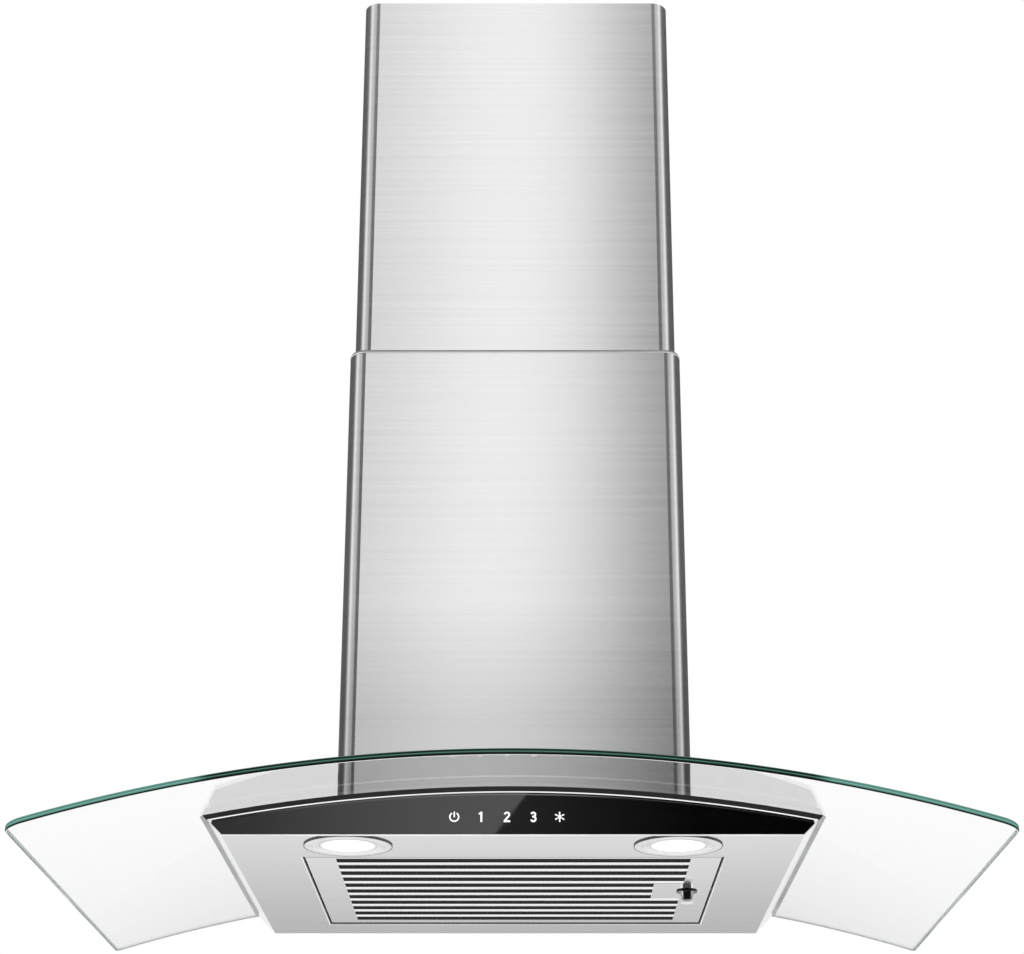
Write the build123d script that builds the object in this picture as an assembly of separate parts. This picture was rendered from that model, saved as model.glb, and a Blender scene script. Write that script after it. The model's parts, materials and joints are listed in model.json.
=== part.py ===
from build123d import *

import os
from math import asin, cos, sin, sqrt

# Wall mount range hood with an arched glass canopy and a telescopic chimney, in millimetres.
# +X is to the right seen from the room, the front is -Y, +Z is up, and the wall is the plane y = 0.
# Heights below are counted from the underside of the steel body. Each piece is lowered as it is saved,
# so that the origin lies on the wall at the centre of the four wall holes.

# Glass canopy, arched about an axis along Y
GLASS_WIDTH = 750.0
GLASS_DEPTH = 500.0
GLASS_THICK = 5.0
GLASS_ARCH_R = 1280.0
GLASS_CROWN = 43.5
GLASS_CORNER_R = 14.0
GLASS_REAR_CORNER_R = 5.0
GLASS_WALL_GAP = 2.0
GLASS_BOX_GAP = 3.0

# Steel body under the glass
BODY_WIDTH_LOW = 453.0
BODY_WIDTH_HIGH = 482.0
BODY_DEPTH = 407.0
BODY_SHEET = 1.0
BODY_FLANGE = 26.0
TOP_PLATE_THICK = 1.0
TOP_PLATE_LAP = 6.0
GASKET_THICK = 1.0
GASKET_WIDTH = 8.0
GASKET_INSET = 1.0

# Black glass front panel with the strips above it
PANEL_THICK = 4.0
PANEL_LIFT = 0.3
SEAL_HEIGHT = 4.2
TRIM_HEIGHT = 0.9
STRIP_GAP = 0.2
TOUCH_COUNT = 5
TOUCH_PITCH = 20.5
TOUCH_X = -4.6
TOUCH_Z = 13.9
TOUCH_PAD_R = 5.0
TOUCH_MARGIN = 12.0
TOUCH_WINDOW_HEIGHT = 14.0
TOUCH_BOARD_THICK = 1.6
TOUCH_BOARD_LAP = 3.0

# Glass fixings
GLASS_SCREW_R = 2.0
GLASS_SCREW_HEAD_R = 5.0
GLASS_SCREW_HEAD = 2.5
GLASS_SCREW_BITE = 2.5
GLASS_SLEEVE_R = 3.5
GLASS_SLEEVE_RIM_R = 7.0
GLASS_SLEEVE_RIM = 1.2
GLASS_SCREW_FRONT_Y = -340.0
GLASS_SCREW_REAR_Y = -60.0

# Chimney covers
CHIMNEY_WIDTH = 300.0
CHIMNEY_DEPTH = 275.0
CHIMNEY_SHEET = 0.8
CHIMNEY_CORNER_R = 15.0
CHIMNEY_RETURN = 12.0
CHIMNEY_WALL_GAP = 1.0
CHIMNEY_STEP = 4.0
RETURN_GAP = 1.0
CHIMNEY_FOOT_GAP = 0.3
LOWER_TOP = 475.0
UPPER_TOP = 849.0
CHIMNEY_OVERLAP = 55.0
GLIDE_GAP = 0.25
GLIDE_LENGTH = 40.0
GLIDE_HEIGHT = 20.0
GLIDE_DROP = 5.0

# Ceiling-end bracket of the upper chimney
BRACKET_SHEET = 1.5
BRACKET_HEIGHT = 30.0
BRACKET_DROP = 14.0
BRACKET_ARM = 58.0
BRACKET_RETURN_GAP = 3.0
BRACKET_HOLE_R = 3.0
BRACKET_HOLE_SPACING = 200.0
CHIMNEY_SCREW_R = 1.9
CHIMNEY_SCREW_HEAD_R = 4.0
CHIMNEY_SCREW_HEAD = 2.0
CHIMNEY_SCREW_GRIP = 5.0
CHIMNEY_SCREW_Y = -40.0
CLIP_SHEET = 1.0
CLIP_LENGTH = 30.0
CLIP_HEIGHT = 30.0
CLIP_Z = 62.0

# Blower box inside the lower chimney
BOX_SIDE_ROOM = 19.0
BOX_FRONT_ROOM = 33.0
BOX_SHEET = 1.0
BOX_FOOT = 16.0
BOX_RIM = 14.0
LID_Z = 330.0
LID_THICK = 1.0
LID_SCREW_R = 1.5
LID_SCREW_HEAD_R = 3.5
LID_SCREW_HEAD = 2.0
LID_SCREW_LENGTH = 6.0
LID_SCREW_INSET = 8.0

# Wall plate and its holes
WALL_PLATE_THICK = 1.5
WALL_PLATE_RISE = 50.0
WALL_HOLE_R = 4.0
WALL_HOLE_SPACING_X = 210.0
WALL_HOLE_SPACING_Z = 270.0
WALL_HOLES_Z = 220.0

# Outlet collar and its backdraught damper
DUCT_R = 75.0
COLLAR_WALL = 2.5
COLLAR_HEIGHT = 45.0
COLLAR_FLANGE = 13.0
COLLAR_FLANGE_THICK = 2.0
OUTLET_Y = -80.0
FLAP_THICK = 1.5
FLAP_GAP = 1.5
FLAP_PIVOT_RISE = 14.0
FLAP_ROOT = 4.4
LEDGE_WIDTH = 3.0
LEDGE_THICK = 1.5
LEDGE_GAP = 0.1
DAMPER_PIN_R = 1.5
KNUCKLE_WALL = 1.65
KNUCKLE_LENGTH = 20.0
KNUCKLE_PITCH = 20.0

# Fan: spiral housing, wheel and motor, turning about an axis along X
FAN_Y = -136.0
FAN_Z = 165.0
SCROLL_WIDTH = 100.0
SCROLL_SHEET = 1.0
SCROLL_START_R = 84.0
SCROLL_GROWTH = 8.0
SCROLL_MOUTH = 90.0
SCROLL_TONGUE_R = 6.0
SCROLL_FLANGE = 10.0
INLET_R = 60.0
BELL_R = 6.0
WHEEL_R = 76.0
WHEEL_GAP = 6.0
WHEEL_RING = 14.0
WHEEL_SHEET = 1.5
BLADE_COUNT = 32
BLADE_THICK = 1.0
BLADE_BEND_R = 11.5
BLADE_LEAN = 10.0
HUB_R = 12.0
HUB_LENGTH = 24.0
SHAFT_R = 4.0
MOTOR_R = 44.0
MOTOR_FLANGE_R = 56.0
MOTOR_FLANGE_THICK = 2.0
MOTOR_NOSE_R = 14.0
MOTOR_END_GAP = 12.0
MOTOR_EDGE_R = 6.0
MOTOR_OPENING_R = 32.0
MOTOR_WALL = 6.0
BUSH_R = 7.0
BUSH_LENGTH = 7.0
BUSH_COUNT = 3
BUSH_CIRCLE_R = 46.0

# Electric pieces on the front of the blower box and in its lid
CONTROL_WIDTH = 120.0
CONTROL_HEIGHT = 90.0
CONTROL_DEPTH = 22.0
CONTROL_WALL = 2.0
CONTROL_Z = 190.0
CAPACITOR_R = 12.0
CAPACITOR_LENGTH = 60.0
CAPACITOR_Z = 150.0
STRAP_SHEET = 1.0
STRAP_WIDTH = 12.0
STRAP_FOOT = 10.0
GROMMET_X = -100.0
GROMMET_Y = -205.0
GROMMET_BORE_R = 5.0
GROMMET_NECK_R = 9.0
GROMMET_RIM_R = 12.0
GROMMET_RIM = 3.0

# Lamps
LAMP_X = 130.6
LAMP_INSET = 37.5
LAMP_BEZEL_R = 35.0
LAMP_BEZEL_THICK = 1.0
LAMP_GROOVE_R = 28.3
LAMP_GROOVE = 0.5
LAMP_LENS_R = 22.5
LAMP_LENS_THICK = 1.8
LAMP_LENS_CHAMFER = 0.3
LAMP_CAN_R = 28.0
LAMP_CAN_HEIGHT = 13.0
LAMP_CAN_WALL = 2.0
LAMP_FIT = 0.2
LAMP_CLIP_SHEET = 0.8
LAMP_CLIP_REACH = 9.0
LAMP_CLIP_HEIGHT = 8.0
LAMP_CLIP_WIDTH = 10.0

# Grease filter
FILTER_WIDTH = 337.0
FILTER_DEPTH = 273.0
FILTER_HEIGHT = 10.0
FILTER_SHEET = 0.8
FILTER_GAP = 1.0
FILTER_INSET = 81.2
SLOT_COUNT = 11
SLOT_PITCH = 24.1
SLOT_WIDTH = 13.8
SLOT_LENGTH = 288.0
SLOT_FIELD_SHIFT = -4.0
SLOT_SHORTENING = 25.0
LATCH_ROWS = (4, 5, 6)
MESH_GAP = 0.3
PLEATS_PER_SLOT = 2
PLEAT_FLAT = 1.0
PLEAT_THICK = 0.9
BACK_SHEET = 0.8
HOOK_REACH = 7.5
HOOK_WIDTH = 24.0
HOOK_SPACING = 180.0
HOOK_LIFT = 0.5
HOOK_RISE = 4.5

# Filter latch
LATCH_X = 148.8
LATCH_TRAVEL = 6.0
BOLT_LENGTH = 33.0
BOLT_WIDTH = 14.0
BOLT_THICK = 4.6
BOLT_LIFT = 0.4
BOLT_OVERHANG = 4.5
BOLT_CHAMFER = 2.0
LATCH_GAP = 0.3
GUIDE_SHEET = 0.8
GUIDE_LENGTH = 39.0
KNOB_COLLAR_R = 9.0
KNOB_COLLAR = 0.8
KNOB_TOP_R = 6.2
KNOB_WAIST_R = 4.2
KNOB_WAIST_DROP = 6.7
KNOB_RIM_R = 5.8
KNOB_LENGTH = 9.2
STEM_R = 2.2
STEM_FIT = 0.05
SPRING_R = 1.8
SPRING_WIRE_R = 0.35
SPRING_WIRE_SIDES = 4
SPRING_TURNS = 5

# Fits between pieces
FIT = 0.1
RUNNING_FIT = 0.05

# Worked out from the sizes above
ARCH_CENTRE_Z = GLASS_CROWN - GLASS_ARCH_R
GLASS_UNDER_R = GLASS_ARCH_R - GLASS_THICK
BODY_TOP_R = GLASS_UNDER_R - GASKET_THICK
PLATE_TOP_R = BODY_TOP_R - BODY_SHEET - FIT
BODY_FRONT_Y = -(BODY_DEPTH - PANEL_THICK)
SEAL_TOP_R = GLASS_UNDER_R - FIT
TRIM_TOP_R = SEAL_TOP_R - SEAL_HEIGHT
PANEL_TOP_R = TRIM_TOP_R - TRIM_HEIGHT - STRIP_GAP
BOX_HALF = CHIMNEY_WIDTH / 2 - BOX_SIDE_ROOM
BOX_FRONT_Y = -(CHIMNEY_DEPTH - BOX_FRONT_ROOM)
BOX_REAR_Y = -WALL_PLATE_THICK
LID_TOP = LID_Z + LID_THICK
SCROLL_HALF = SCROLL_WIDTH / 2
WHEEL_HALF = SCROLL_HALF - WHEEL_GAP
MOTOR_FACE_X = -(SCROLL_HALF + SCROLL_SHEET + BUSH_LENGTH)
MOTOR_END_X = -(BOX_HALF - BOX_SHEET - MOTOR_END_GAP)
LAMP_Y = LAMP_INSET - BODY_DEPTH
FILTER_LEFT = -FILTER_WIDTH / 2
FILTER_RIGHT = FILTER_WIDTH / 2
FILTER_FRONT = FILTER_INSET - BODY_DEPTH
FILTER_REAR = FILTER_FRONT + FILTER_DEPTH
FILTER_Y = (FILTER_FRONT + FILTER_REAR) / 2
SLOT_FIELD_Y = FILTER_Y + SLOT_FIELD_SHIFT
FLAP_PIVOT_Z = LID_TOP + FLAP_PIVOT_RISE
UPPER_BOTTOM = LOWER_TOP - CHIMNEY_OVERLAP
UPPER_WALL_GAP = CHIMNEY_WALL_GAP + CHIMNEY_SHEET + RETURN_GAP
BRACKET_Z = UPPER_TOP - BRACKET_DROP - BRACKET_HEIGHT
GLASS_SCREW_X = BODY_WIDTH_HIGH / 2 - BODY_FLANGE / 2
GLASS_STACK = FIT + GLASS_SLEEVE_RIM + GLASS_THICK + GASKET_THICK + BODY_SHEET
GLASS_SCREW_LENGTH = GLASS_STACK + GLASS_SCREW_BITE
# Longer than anything that a cut goes through
TALL = GLASS_ARCH_R


def block(x, y, z):
    """Box between three pairs of limits."""
    size = (x[1] - x[0], y[1] - y[0], z[1] - z[0])
    return Pos((x[0] + x[1]) / 2, (y[0] + y[1]) / 2, (z[0] + z[1]) / 2) * Box(*size)


def rod(start, direction, radius, length):
    """Cylinder from a point along a direction."""
    from_start = (Align.CENTER, Align.CENTER, Align.MIN)
    return Plane(origin=start, z_dir=direction) * Cylinder(radius, length, align=from_start)


def along_y(section, y_front, y_rear):
    """Solid from a section drawn in X and Z, between two depths."""
    return extrude(Plane.XZ.offset(-y_rear) * section, amount=y_rear - y_front)


def along_x(section, x_low, x_high):
    """Solid from a section drawn in Y and Z, between two places across."""
    return extrude(Plane.YZ.offset(x_low) * section, amount=x_high - x_low)


def arch_z(x, radius):
    """Height of an arch of the canopy's centre, at a place across."""
    return ARCH_CENTRE_Z + sqrt(radius**2 - x**2)


def arch_disc(radius):
    return Pos(0, ARCH_CENTRE_Z) * Circle(radius)


def arch_spot(x, y, radius):
    """Plane on an arch, square to it."""
    lean = asin(x / radius)
    spot = (x, y, ARCH_CENTRE_Z + radius * cos(lean))
    return Plane(origin=spot, x_dir=(cos(lean), 0, -sin(lean)), z_dir=(sin(lean), 0, cos(lean)))


def arched_sheet(low_r, high_r, half_width, y_front, y_rear):
    """Part of a tube about the canopy's centre line."""
    window = Pos(0, GLASS_CROWN) * Rectangle(2 * half_width, TALL)
    return along_y((arch_disc(high_r) - arch_disc(low_r)) & window, y_front, y_rear)


def under_arch(radius):
    """All that lies inside an arch, to cut the foot of a piece that stands on it."""
    return along_y(arch_disc(radius), -2 * GLASS_DEPTH, GLASS_DEPTH)


def body_outline():
    """Slanted sides of the body, carried on above its top."""
    side_z = arch_z(BODY_WIDTH_HIGH / 2, BODY_TOP_R)
    lean = (BODY_WIDTH_HIGH - BODY_WIDTH_LOW) / 2 / side_z
    low = BODY_WIDTH_LOW / 2
    reach = 2 * GLASS_CROWN
    high = low + lean * reach
    return Polygon((-low, 0), (low, 0), (high, reach), (-high, reach), align=None)


def glass_screw_spots(radius):
    """The four fixings of the glass, as planes on an arch."""
    for x in (-GLASS_SCREW_X, GLASS_SCREW_X):
        for y in (GLASS_SCREW_FRONT_Y, GLASS_SCREW_REAR_Y):
            yield arch_spot(x * radius / GLASS_ARCH_R, y, radius)


def glass_screw_holes(radius):
    return [spot * Cylinder(radius, 4 * GLASS_CROWN) for spot in glass_screw_spots(GLASS_ARCH_R)]


def touch_spots():
    """Places across of the touch symbols."""
    first = TOUCH_X - TOUCH_PITCH * (TOUCH_COUNT - 1) / 2
    return [first + TOUCH_PITCH * i for i in range(TOUCH_COUNT)]


def touch_window_half():
    return TOUCH_PITCH * (TOUCH_COUNT - 1) / 2 + TOUCH_MARGIN


def make_canopy_glass():
    y_front = -(GLASS_WALL_GAP + GLASS_DEPTH)
    sheet = arched_sheet(GLASS_UNDER_R, GLASS_ARCH_R, GLASS_WIDTH / 2, y_front, -GLASS_WALL_GAP)
    sheet = fillet(sheet.edges().filter_by(Axis.Z).group_by(Axis.Y)[0], GLASS_CORNER_R)
    sheet = fillet(sheet.edges().filter_by(Axis.Z).group_by(Axis.Y)[-1], GLASS_REAR_CORNER_R)
    notch_x = BOX_HALF + GLASS_BOX_GAP
    sheet -= block((-notch_x, notch_x), (BOX_FRONT_Y - GLASS_BOX_GAP, 0), (-TALL, TALL))
    for hole in glass_screw_holes(GLASS_SLEEVE_R + FIT):
        sheet -= hole
    return sheet


def make_body_shell():
    outer = body_outline() & arch_disc(BODY_TOP_R)
    inner = offset(outer, amount=-BODY_SHEET, kind=Kind.INTERSECTION)
    shell = along_y(outer, BODY_FRONT_Y, 0)
    shell -= along_y(inner, BODY_FRONT_Y + BODY_SHEET, -BODY_SHEET)
    above = (2 * BODY_SHEET, 2 * GLASS_CROWN)
    top_x = BODY_WIDTH_HIGH / 2 - BODY_FLANGE
    shell -= block((-top_x, top_x), (BODY_FRONT_Y + BODY_FLANGE, -BODY_FLANGE), above)
    rear_x = BOX_HALF + BOX_FOOT + FIT
    shell -= block((-rear_x, rear_x), (-BODY_FLANGE - BODY_SHEET, -BODY_SHEET), above)
    opening_x = FILTER_WIDTH / 2 + FILTER_GAP
    opening_y = (FILTER_FRONT - FILTER_GAP, FILTER_REAR + FILTER_GAP)
    shell -= block((-opening_x, opening_x), opening_y, (-BODY_SHEET, 2 * BODY_SHEET))
    for x in (-LAMP_X, LAMP_X):
        shell -= Pos(x, LAMP_Y, 0) * Cylinder(LAMP_CAN_R + LAMP_FIT, 4 * BODY_SHEET)
    window_x = (TOUCH_X - touch_window_half(), TOUCH_X + touch_window_half())
    window_z = (TOUCH_Z - TOUCH_WINDOW_HEIGHT / 2, TOUCH_Z + TOUCH_WINDOW_HEIGHT / 2)
    shell -= block(window_x, (BODY_FRONT_Y - BODY_SHEET, BODY_FRONT_Y + 2 * BODY_SHEET), window_z)
    for spot in glass_screw_spots(BODY_TOP_R):
        shell -= spot * Cylinder(GLASS_SCREW_R + FIT, 4 * BODY_SHEET)
    return shell


def make_top_plate():
    half = BODY_WIDTH_HIGH / 2 - BODY_FLANGE + TOP_PLATE_LAP
    y_front = BODY_FRONT_Y + BODY_FLANGE - TOP_PLATE_LAP
    y_lap = -BODY_FLANGE + TOP_PLATE_LAP
    low_r = PLATE_TOP_R - TOP_PLATE_THICK
    plate = arched_sheet(low_r, PLATE_TOP_R, half, y_front, y_lap)
    foot_x = BOX_HALF + BOX_FOOT
    plate += arched_sheet(low_r, PLATE_TOP_R, foot_x, -BODY_FLANGE, -BODY_SHEET - FIT)
    inside = BOX_HALF - BOX_SHEET
    plate -= block((-inside, inside), (BOX_FRONT_Y + BOX_SHEET, -BODY_FLANGE), (-TALL, TALL))
    return plate


def make_glass_gasket():
    low_r = BODY_TOP_R + FIT
    high_r = GLASS_UNDER_R - FIT
    half = BODY_WIDTH_HIGH / 2 - GASKET_INSET
    y_front = BODY_FRONT_Y + GASKET_INSET
    y_rear = -GLASS_WALL_GAP - GASKET_INSET
    ring = arched_sheet(low_r, high_r, half, y_front, y_rear)
    inside = half - GASKET_WIDTH
    ring -= block((-inside, inside), (y_front + GASKET_WIDTH, y_rear - GASKET_WIDTH), (-TALL, TALL))
    rear_x = BOX_HALF + BOX_FOOT + GLASS_BOX_GAP
    ring -= block((-rear_x, rear_x), (y_rear - 2 * GASKET_WIDTH, 0), (-TALL, TALL))
    return ring


def make_front_panel():
    face = body_outline() & arch_disc(PANEL_TOP_R)
    face -= Pos(0, -GLASS_CROWN + PANEL_LIFT) * Rectangle(2 * GLASS_WIDTH, 2 * GLASS_CROWN)
    return along_y(face, -BODY_DEPTH, BODY_FRONT_Y)


def make_front_strip(low_r, high_r):
    """Arched strip above the panel, with ends cut along the body's slanted sides."""
    return along_y(body_outline() & (arch_disc(high_r) - arch_disc(low_r)), -BODY_DEPTH, BODY_FRONT_Y)


def make_touch_board():
    half = touch_window_half() + TOUCH_BOARD_LAP
    tall = TOUCH_WINDOW_HEIGHT / 2 + TOUCH_BOARD_LAP
    y_front = BODY_FRONT_Y + BODY_SHEET
    across = (TOUCH_X - half, TOUCH_X + half)
    return block(across, (y_front, y_front + TOUCH_BOARD_THICK), (TOUCH_Z - tall, TOUCH_Z + tall))


def make_touch_pads():
    pads = [rod((x, BODY_FRONT_Y, TOUCH_Z), (0, 1, 0), TOUCH_PAD_R, BODY_SHEET) for x in touch_spots()]
    return Compound(pads)


def make_glass_sleeves():
    sleeves = []
    for spot in glass_screw_spots(GLASS_ARCH_R):
        neck = spot * Pos(0, 0, (FIT - GLASS_THICK) / 2) * Cylinder(GLASS_SLEEVE_R, GLASS_THICK + FIT)
        rim = spot * Pos(0, 0, FIT + GLASS_SLEEVE_RIM / 2) * Cylinder(GLASS_SLEEVE_RIM_R, GLASS_SLEEVE_RIM)
        sleeves.append(neck + rim - spot * Cylinder(GLASS_SCREW_R + FIT, 4 * GLASS_THICK))
    return Compound(sleeves)


def make_glass_screws():
    screws = []
    seat = (0, 0, FIT + GLASS_SLEEVE_RIM)
    head = rod(seat, (0, 0, 1), GLASS_SCREW_HEAD_R, GLASS_SCREW_HEAD)
    screw = head + rod(seat, (0, 0, -1), GLASS_SCREW_R, GLASS_SCREW_LENGTH)
    for spot in glass_screw_spots(GLASS_ARCH_R):
        screws.append(spot * screw)
    return Compound(screws)


def chimney_plan(width, depth, wall_gap):
    """U-shaped section of a chimney cover, with rounded front corners and returns along the wall."""
    outer = Pos(0, -(depth + wall_gap) / 2) * Rectangle(width, depth - wall_gap)
    outer = fillet(outer.vertices().sort_by(Axis.Y)[:2], CHIMNEY_CORNER_R)
    plan = outer - offset(outer, amount=-CHIMNEY_SHEET, kind=Kind.INTERSECTION)
    gap = width - 2 * CHIMNEY_RETURN
    return plan - Rectangle(gap, 2 * (wall_gap + 2 * CHIMNEY_SHEET))


def chimney_screw_holes(x, z):
    """A hole on each side, from a place across outwards."""
    radius = CHIMNEY_SCREW_R + FIT
    return [rod((side * x, CHIMNEY_SCREW_Y, z), (side, 0, 0), radius, BOX_SIDE_ROOM) for side in (-1, 1)]


def make_lower_chimney():
    cover = extrude(chimney_plan(CHIMNEY_WIDTH, CHIMNEY_DEPTH, CHIMNEY_WALL_GAP), amount=LOWER_TOP)
    cover -= under_arch(GLASS_ARCH_R + CHIMNEY_FOOT_GAP)
    for hole in chimney_screw_holes(BOX_HALF, CLIP_Z + CLIP_HEIGHT / 2):
        cover -= hole
    return cover


def upper_half():
    """Half the width of the upper chimney."""
    return CHIMNEY_WIDTH / 2 - CHIMNEY_STEP


def make_upper_chimney():
    plan = chimney_plan(2 * upper_half(), CHIMNEY_DEPTH - CHIMNEY_STEP, UPPER_WALL_GAP)
    cover = Pos(0, 0, UPPER_BOTTOM) * extrude(plan, amount=UPPER_TOP - UPPER_BOTTOM)
    for hole in chimney_screw_holes(BOX_HALF, BRACKET_Z + BRACKET_HEIGHT / 2):
        cover -= hole
    return cover


def make_chimney_glides():
    """Pads inside the lower chimney's top that the upper one slides along."""
    inner_x = CHIMNEY_WIDTH / 2 - CHIMNEY_SHEET
    inner_y = -(CHIMNEY_DEPTH - CHIMNEY_SHEET)
    face_x = upper_half() + GLIDE_GAP
    face_y = -(CHIMNEY_DEPTH - CHIMNEY_STEP) - GLIDE_GAP
    z = (LOWER_TOP - GLIDE_DROP - GLIDE_HEIGHT, LOWER_TOP - GLIDE_DROP)
    pads = []
    for place in (1 / 4, 3 / 4):
        y = inner_y * place
        pads.append(block((face_x, inner_x), (y - GLIDE_LENGTH / 2, y + GLIDE_LENGTH / 2), z))
        pads.append(block((-inner_x, -face_x), (y - GLIDE_LENGTH / 2, y + GLIDE_LENGTH / 2), z))
        x = inner_x * (2 * place - 1)
        pads.append(block((x - GLIDE_LENGTH / 2, x + GLIDE_LENGTH / 2), (inner_y, face_y), z))
    return Compound(pads)


def make_chimney_bracket():
    """Wall strip that is bent forward past the chimney's returns into two side arms."""
    inner_x = upper_half() - CHIMNEY_SHEET
    strip_x = upper_half() - CHIMNEY_RETURN - BRACKET_RETURN_GAP
    y_back = -(UPPER_WALL_GAP + CHIMNEY_SHEET)
    z = (BRACKET_Z, BRACKET_Z + BRACKET_HEIGHT)
    middle_z = BRACKET_Z + BRACKET_HEIGHT / 2
    bracket = block((-strip_x, strip_x), (-BRACKET_SHEET, 0), z)
    for side in (-1, 1):
        step_x = side * (strip_x - BRACKET_SHEET)
        bracket += block(sorted((step_x, side * strip_x)), (y_back - BRACKET_SHEET, 0), z)
        bracket += block(sorted((step_x, side * inner_x)), (y_back - BRACKET_SHEET, y_back), z)
        arm_x = sorted((side * (inner_x - BRACKET_SHEET), side * inner_x))
        bracket += block(arm_x, (y_back - BRACKET_ARM, y_back), z)
        start = (side * BRACKET_HOLE_SPACING / 2, -2 * BRACKET_SHEET, middle_z)
        bracket -= rod(start, (0, 1, 0), BRACKET_HOLE_R, 4 * BRACKET_SHEET)
    for hole in chimney_screw_holes(BOX_HALF, middle_z):
        bracket -= hole
    return bracket


def make_side_screws(face_x, z):
    """A pan-head screw on each side of a chimney cover."""
    screws = []
    for side in (-1, 1):
        seat = (side * face_x, CHIMNEY_SCREW_Y, z)
        head = rod(seat, (side, 0, 0), CHIMNEY_SCREW_HEAD_R, CHIMNEY_SCREW_HEAD)
        shank = rod(seat, (-side, 0, 0), CHIMNEY_SCREW_R, CHIMNEY_SCREW_GRIP)
        screws.append(head + shank)
    return Compound(screws)


def make_chimney_clips():
    """Z-shaped clips from the blower box to the lower chimney."""
    clips = []
    inner_x = CHIMNEY_WIDTH / 2 - CHIMNEY_SHEET
    y = (CHIMNEY_SCREW_Y - CLIP_LENGTH / 2, CHIMNEY_SCREW_Y + CLIP_LENGTH / 2)
    z = (CLIP_Z, CLIP_Z + CLIP_HEIGHT)
    holes = chimney_screw_holes(BOX_HALF + 2 * CLIP_SHEET, CLIP_Z + CLIP_HEIGHT / 2)
    for side, hole in zip((-1, 1), holes):
        clip = block(sorted((side * BOX_HALF, side * (BOX_HALF + CLIP_SHEET))), y, z)
        clip += block(sorted((side * BOX_HALF, side * inner_x)), y, (CLIP_Z, CLIP_Z + CLIP_SHEET))
        clip += block(sorted((side * (inner_x - CLIP_SHEET), side * inner_x)), y, z)
        clips.append(clip - hole)
    return Compound(clips)


def make_blower_box():
    inside = BOX_HALF - BOX_SHEET
    y = (BOX_FRONT_Y, BOX_REAR_Y)
    clear_y = (BOX_FRONT_Y + BOX_SHEET, 0)
    foot_r = PLATE_TOP_R + FIT
    walls = block((-BOX_HALF, BOX_HALF), y, (0, LID_Z))
    walls -= block((-inside, inside), clear_y, (-LID_Z, 2 * LID_Z))
    walls -= under_arch(foot_r)
    foot = arched_sheet(foot_r, foot_r + BOX_SHEET, BOX_HALF + BOX_FOOT, BOX_FRONT_Y - BOX_FOOT, BOX_REAR_Y)
    foot -= block((-inside, inside), clear_y, (-TALL, TALL))
    rim = block((-BOX_HALF, BOX_HALF), y, (LID_Z - BOX_SHEET, LID_Z))
    rim_x = BOX_HALF - BOX_RIM
    rim -= block((-rim_x, rim_x), (BOX_FRONT_Y + BOX_RIM, 0), (0, 2 * LID_Z))
    box = walls + foot + rim
    for x, y in lid_screw_spots():
        box -= Pos(x, y, LID_Z) * Cylinder(LID_SCREW_R + FIT, 4 * BOX_SHEET)
    return box


def lid_screw_spots():
    for x in (-BOX_HALF + LID_SCREW_INSET, BOX_HALF - LID_SCREW_INSET):
        for y in (BOX_FRONT_Y + LID_SCREW_INSET, BOX_REAR_Y - LID_SCREW_INSET):
            yield x, y


def make_box_lid():
    lid = block((-BOX_HALF, BOX_HALF), (BOX_FRONT_Y, BOX_REAR_Y), (LID_Z, LID_TOP))
    lid -= Pos(0, OUTLET_Y, LID_Z) * Cylinder(DUCT_R - COLLAR_WALL, 4 * LID_THICK)
    lid -= Pos(GROMMET_X, GROMMET_Y, LID_Z) * Cylinder(GROMMET_NECK_R + FIT, 4 * LID_THICK)
    for x, y in lid_screw_spots():
        lid -= Pos(x, y, LID_Z) * Cylinder(LID_SCREW_R + FIT, 4 * LID_THICK)
    return lid


def make_box_screws():
    screws = []
    for x, y in lid_screw_spots():
        head = rod((x, y, LID_TOP), (0, 0, 1), LID_SCREW_HEAD_R, LID_SCREW_HEAD)
        screws.append(head + rod((x, y, LID_TOP), (0, 0, -1), LID_SCREW_R, LID_SCREW_LENGTH))
    return Compound(screws)


def make_wall_plate():
    top = LID_Z + WALL_PLATE_RISE
    plate = block((-BOX_HALF, BOX_HALF), (BOX_REAR_Y, 0), (0, top)) - under_arch(BODY_TOP_R + FIT)
    for x in (-WALL_HOLE_SPACING_X / 2, WALL_HOLE_SPACING_X / 2):
        for z in (WALL_HOLES_Z - WALL_HOLE_SPACING_Z / 2, WALL_HOLES_Z + WALL_HOLE_SPACING_Z / 2):
            plate -= rod((x, -2 * WALL_PLATE_THICK, z), (0, 1, 0), WALL_HOLE_R, 4 * WALL_PLATE_THICK)
    return plate


def make_outlet_collar():
    base = Pos(0, OUTLET_Y, LID_TOP)
    inner_r = DUCT_R - COLLAR_WALL
    flange = base * Pos(0, 0, COLLAR_FLANGE_THICK / 2) * Cylinder(DUCT_R + COLLAR_FLANGE, COLLAR_FLANGE_THICK)
    flange -= block((-TALL, TALL), (BOX_REAR_Y - FIT, TALL), (0, TALL))
    tube = base * Pos(0, 0, COLLAR_HEIGHT / 2) * Cylinder(DUCT_R, COLLAR_HEIGHT)
    collar = flange + tube - base * Cylinder(inner_r, 4 * COLLAR_HEIGHT)
    ledge_top = FLAP_PIVOT_Z - FLAP_THICK / 2 - LEDGE_GAP
    ledge = Pos(0, OUTLET_Y, ledge_top - LEDGE_THICK / 2) * Cylinder(inner_r, LEDGE_THICK)
    ledge -= Pos(0, OUTLET_Y, ledge_top) * Cylinder(inner_r - LEDGE_WIDTH, 4 * LEDGE_THICK)
    pin_hole = rod((-2 * DUCT_R, OUTLET_Y, FLAP_PIVOT_Z), (1, 0, 0), DAMPER_PIN_R + RUNNING_FIT, 4 * DUCT_R)
    return collar + ledge - pin_hole


def make_damper_pin():
    return rod((-DUCT_R, OUTLET_Y, FLAP_PIVOT_Z), (1, 0, 0), DAMPER_PIN_R, 2 * DUCT_R)


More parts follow.
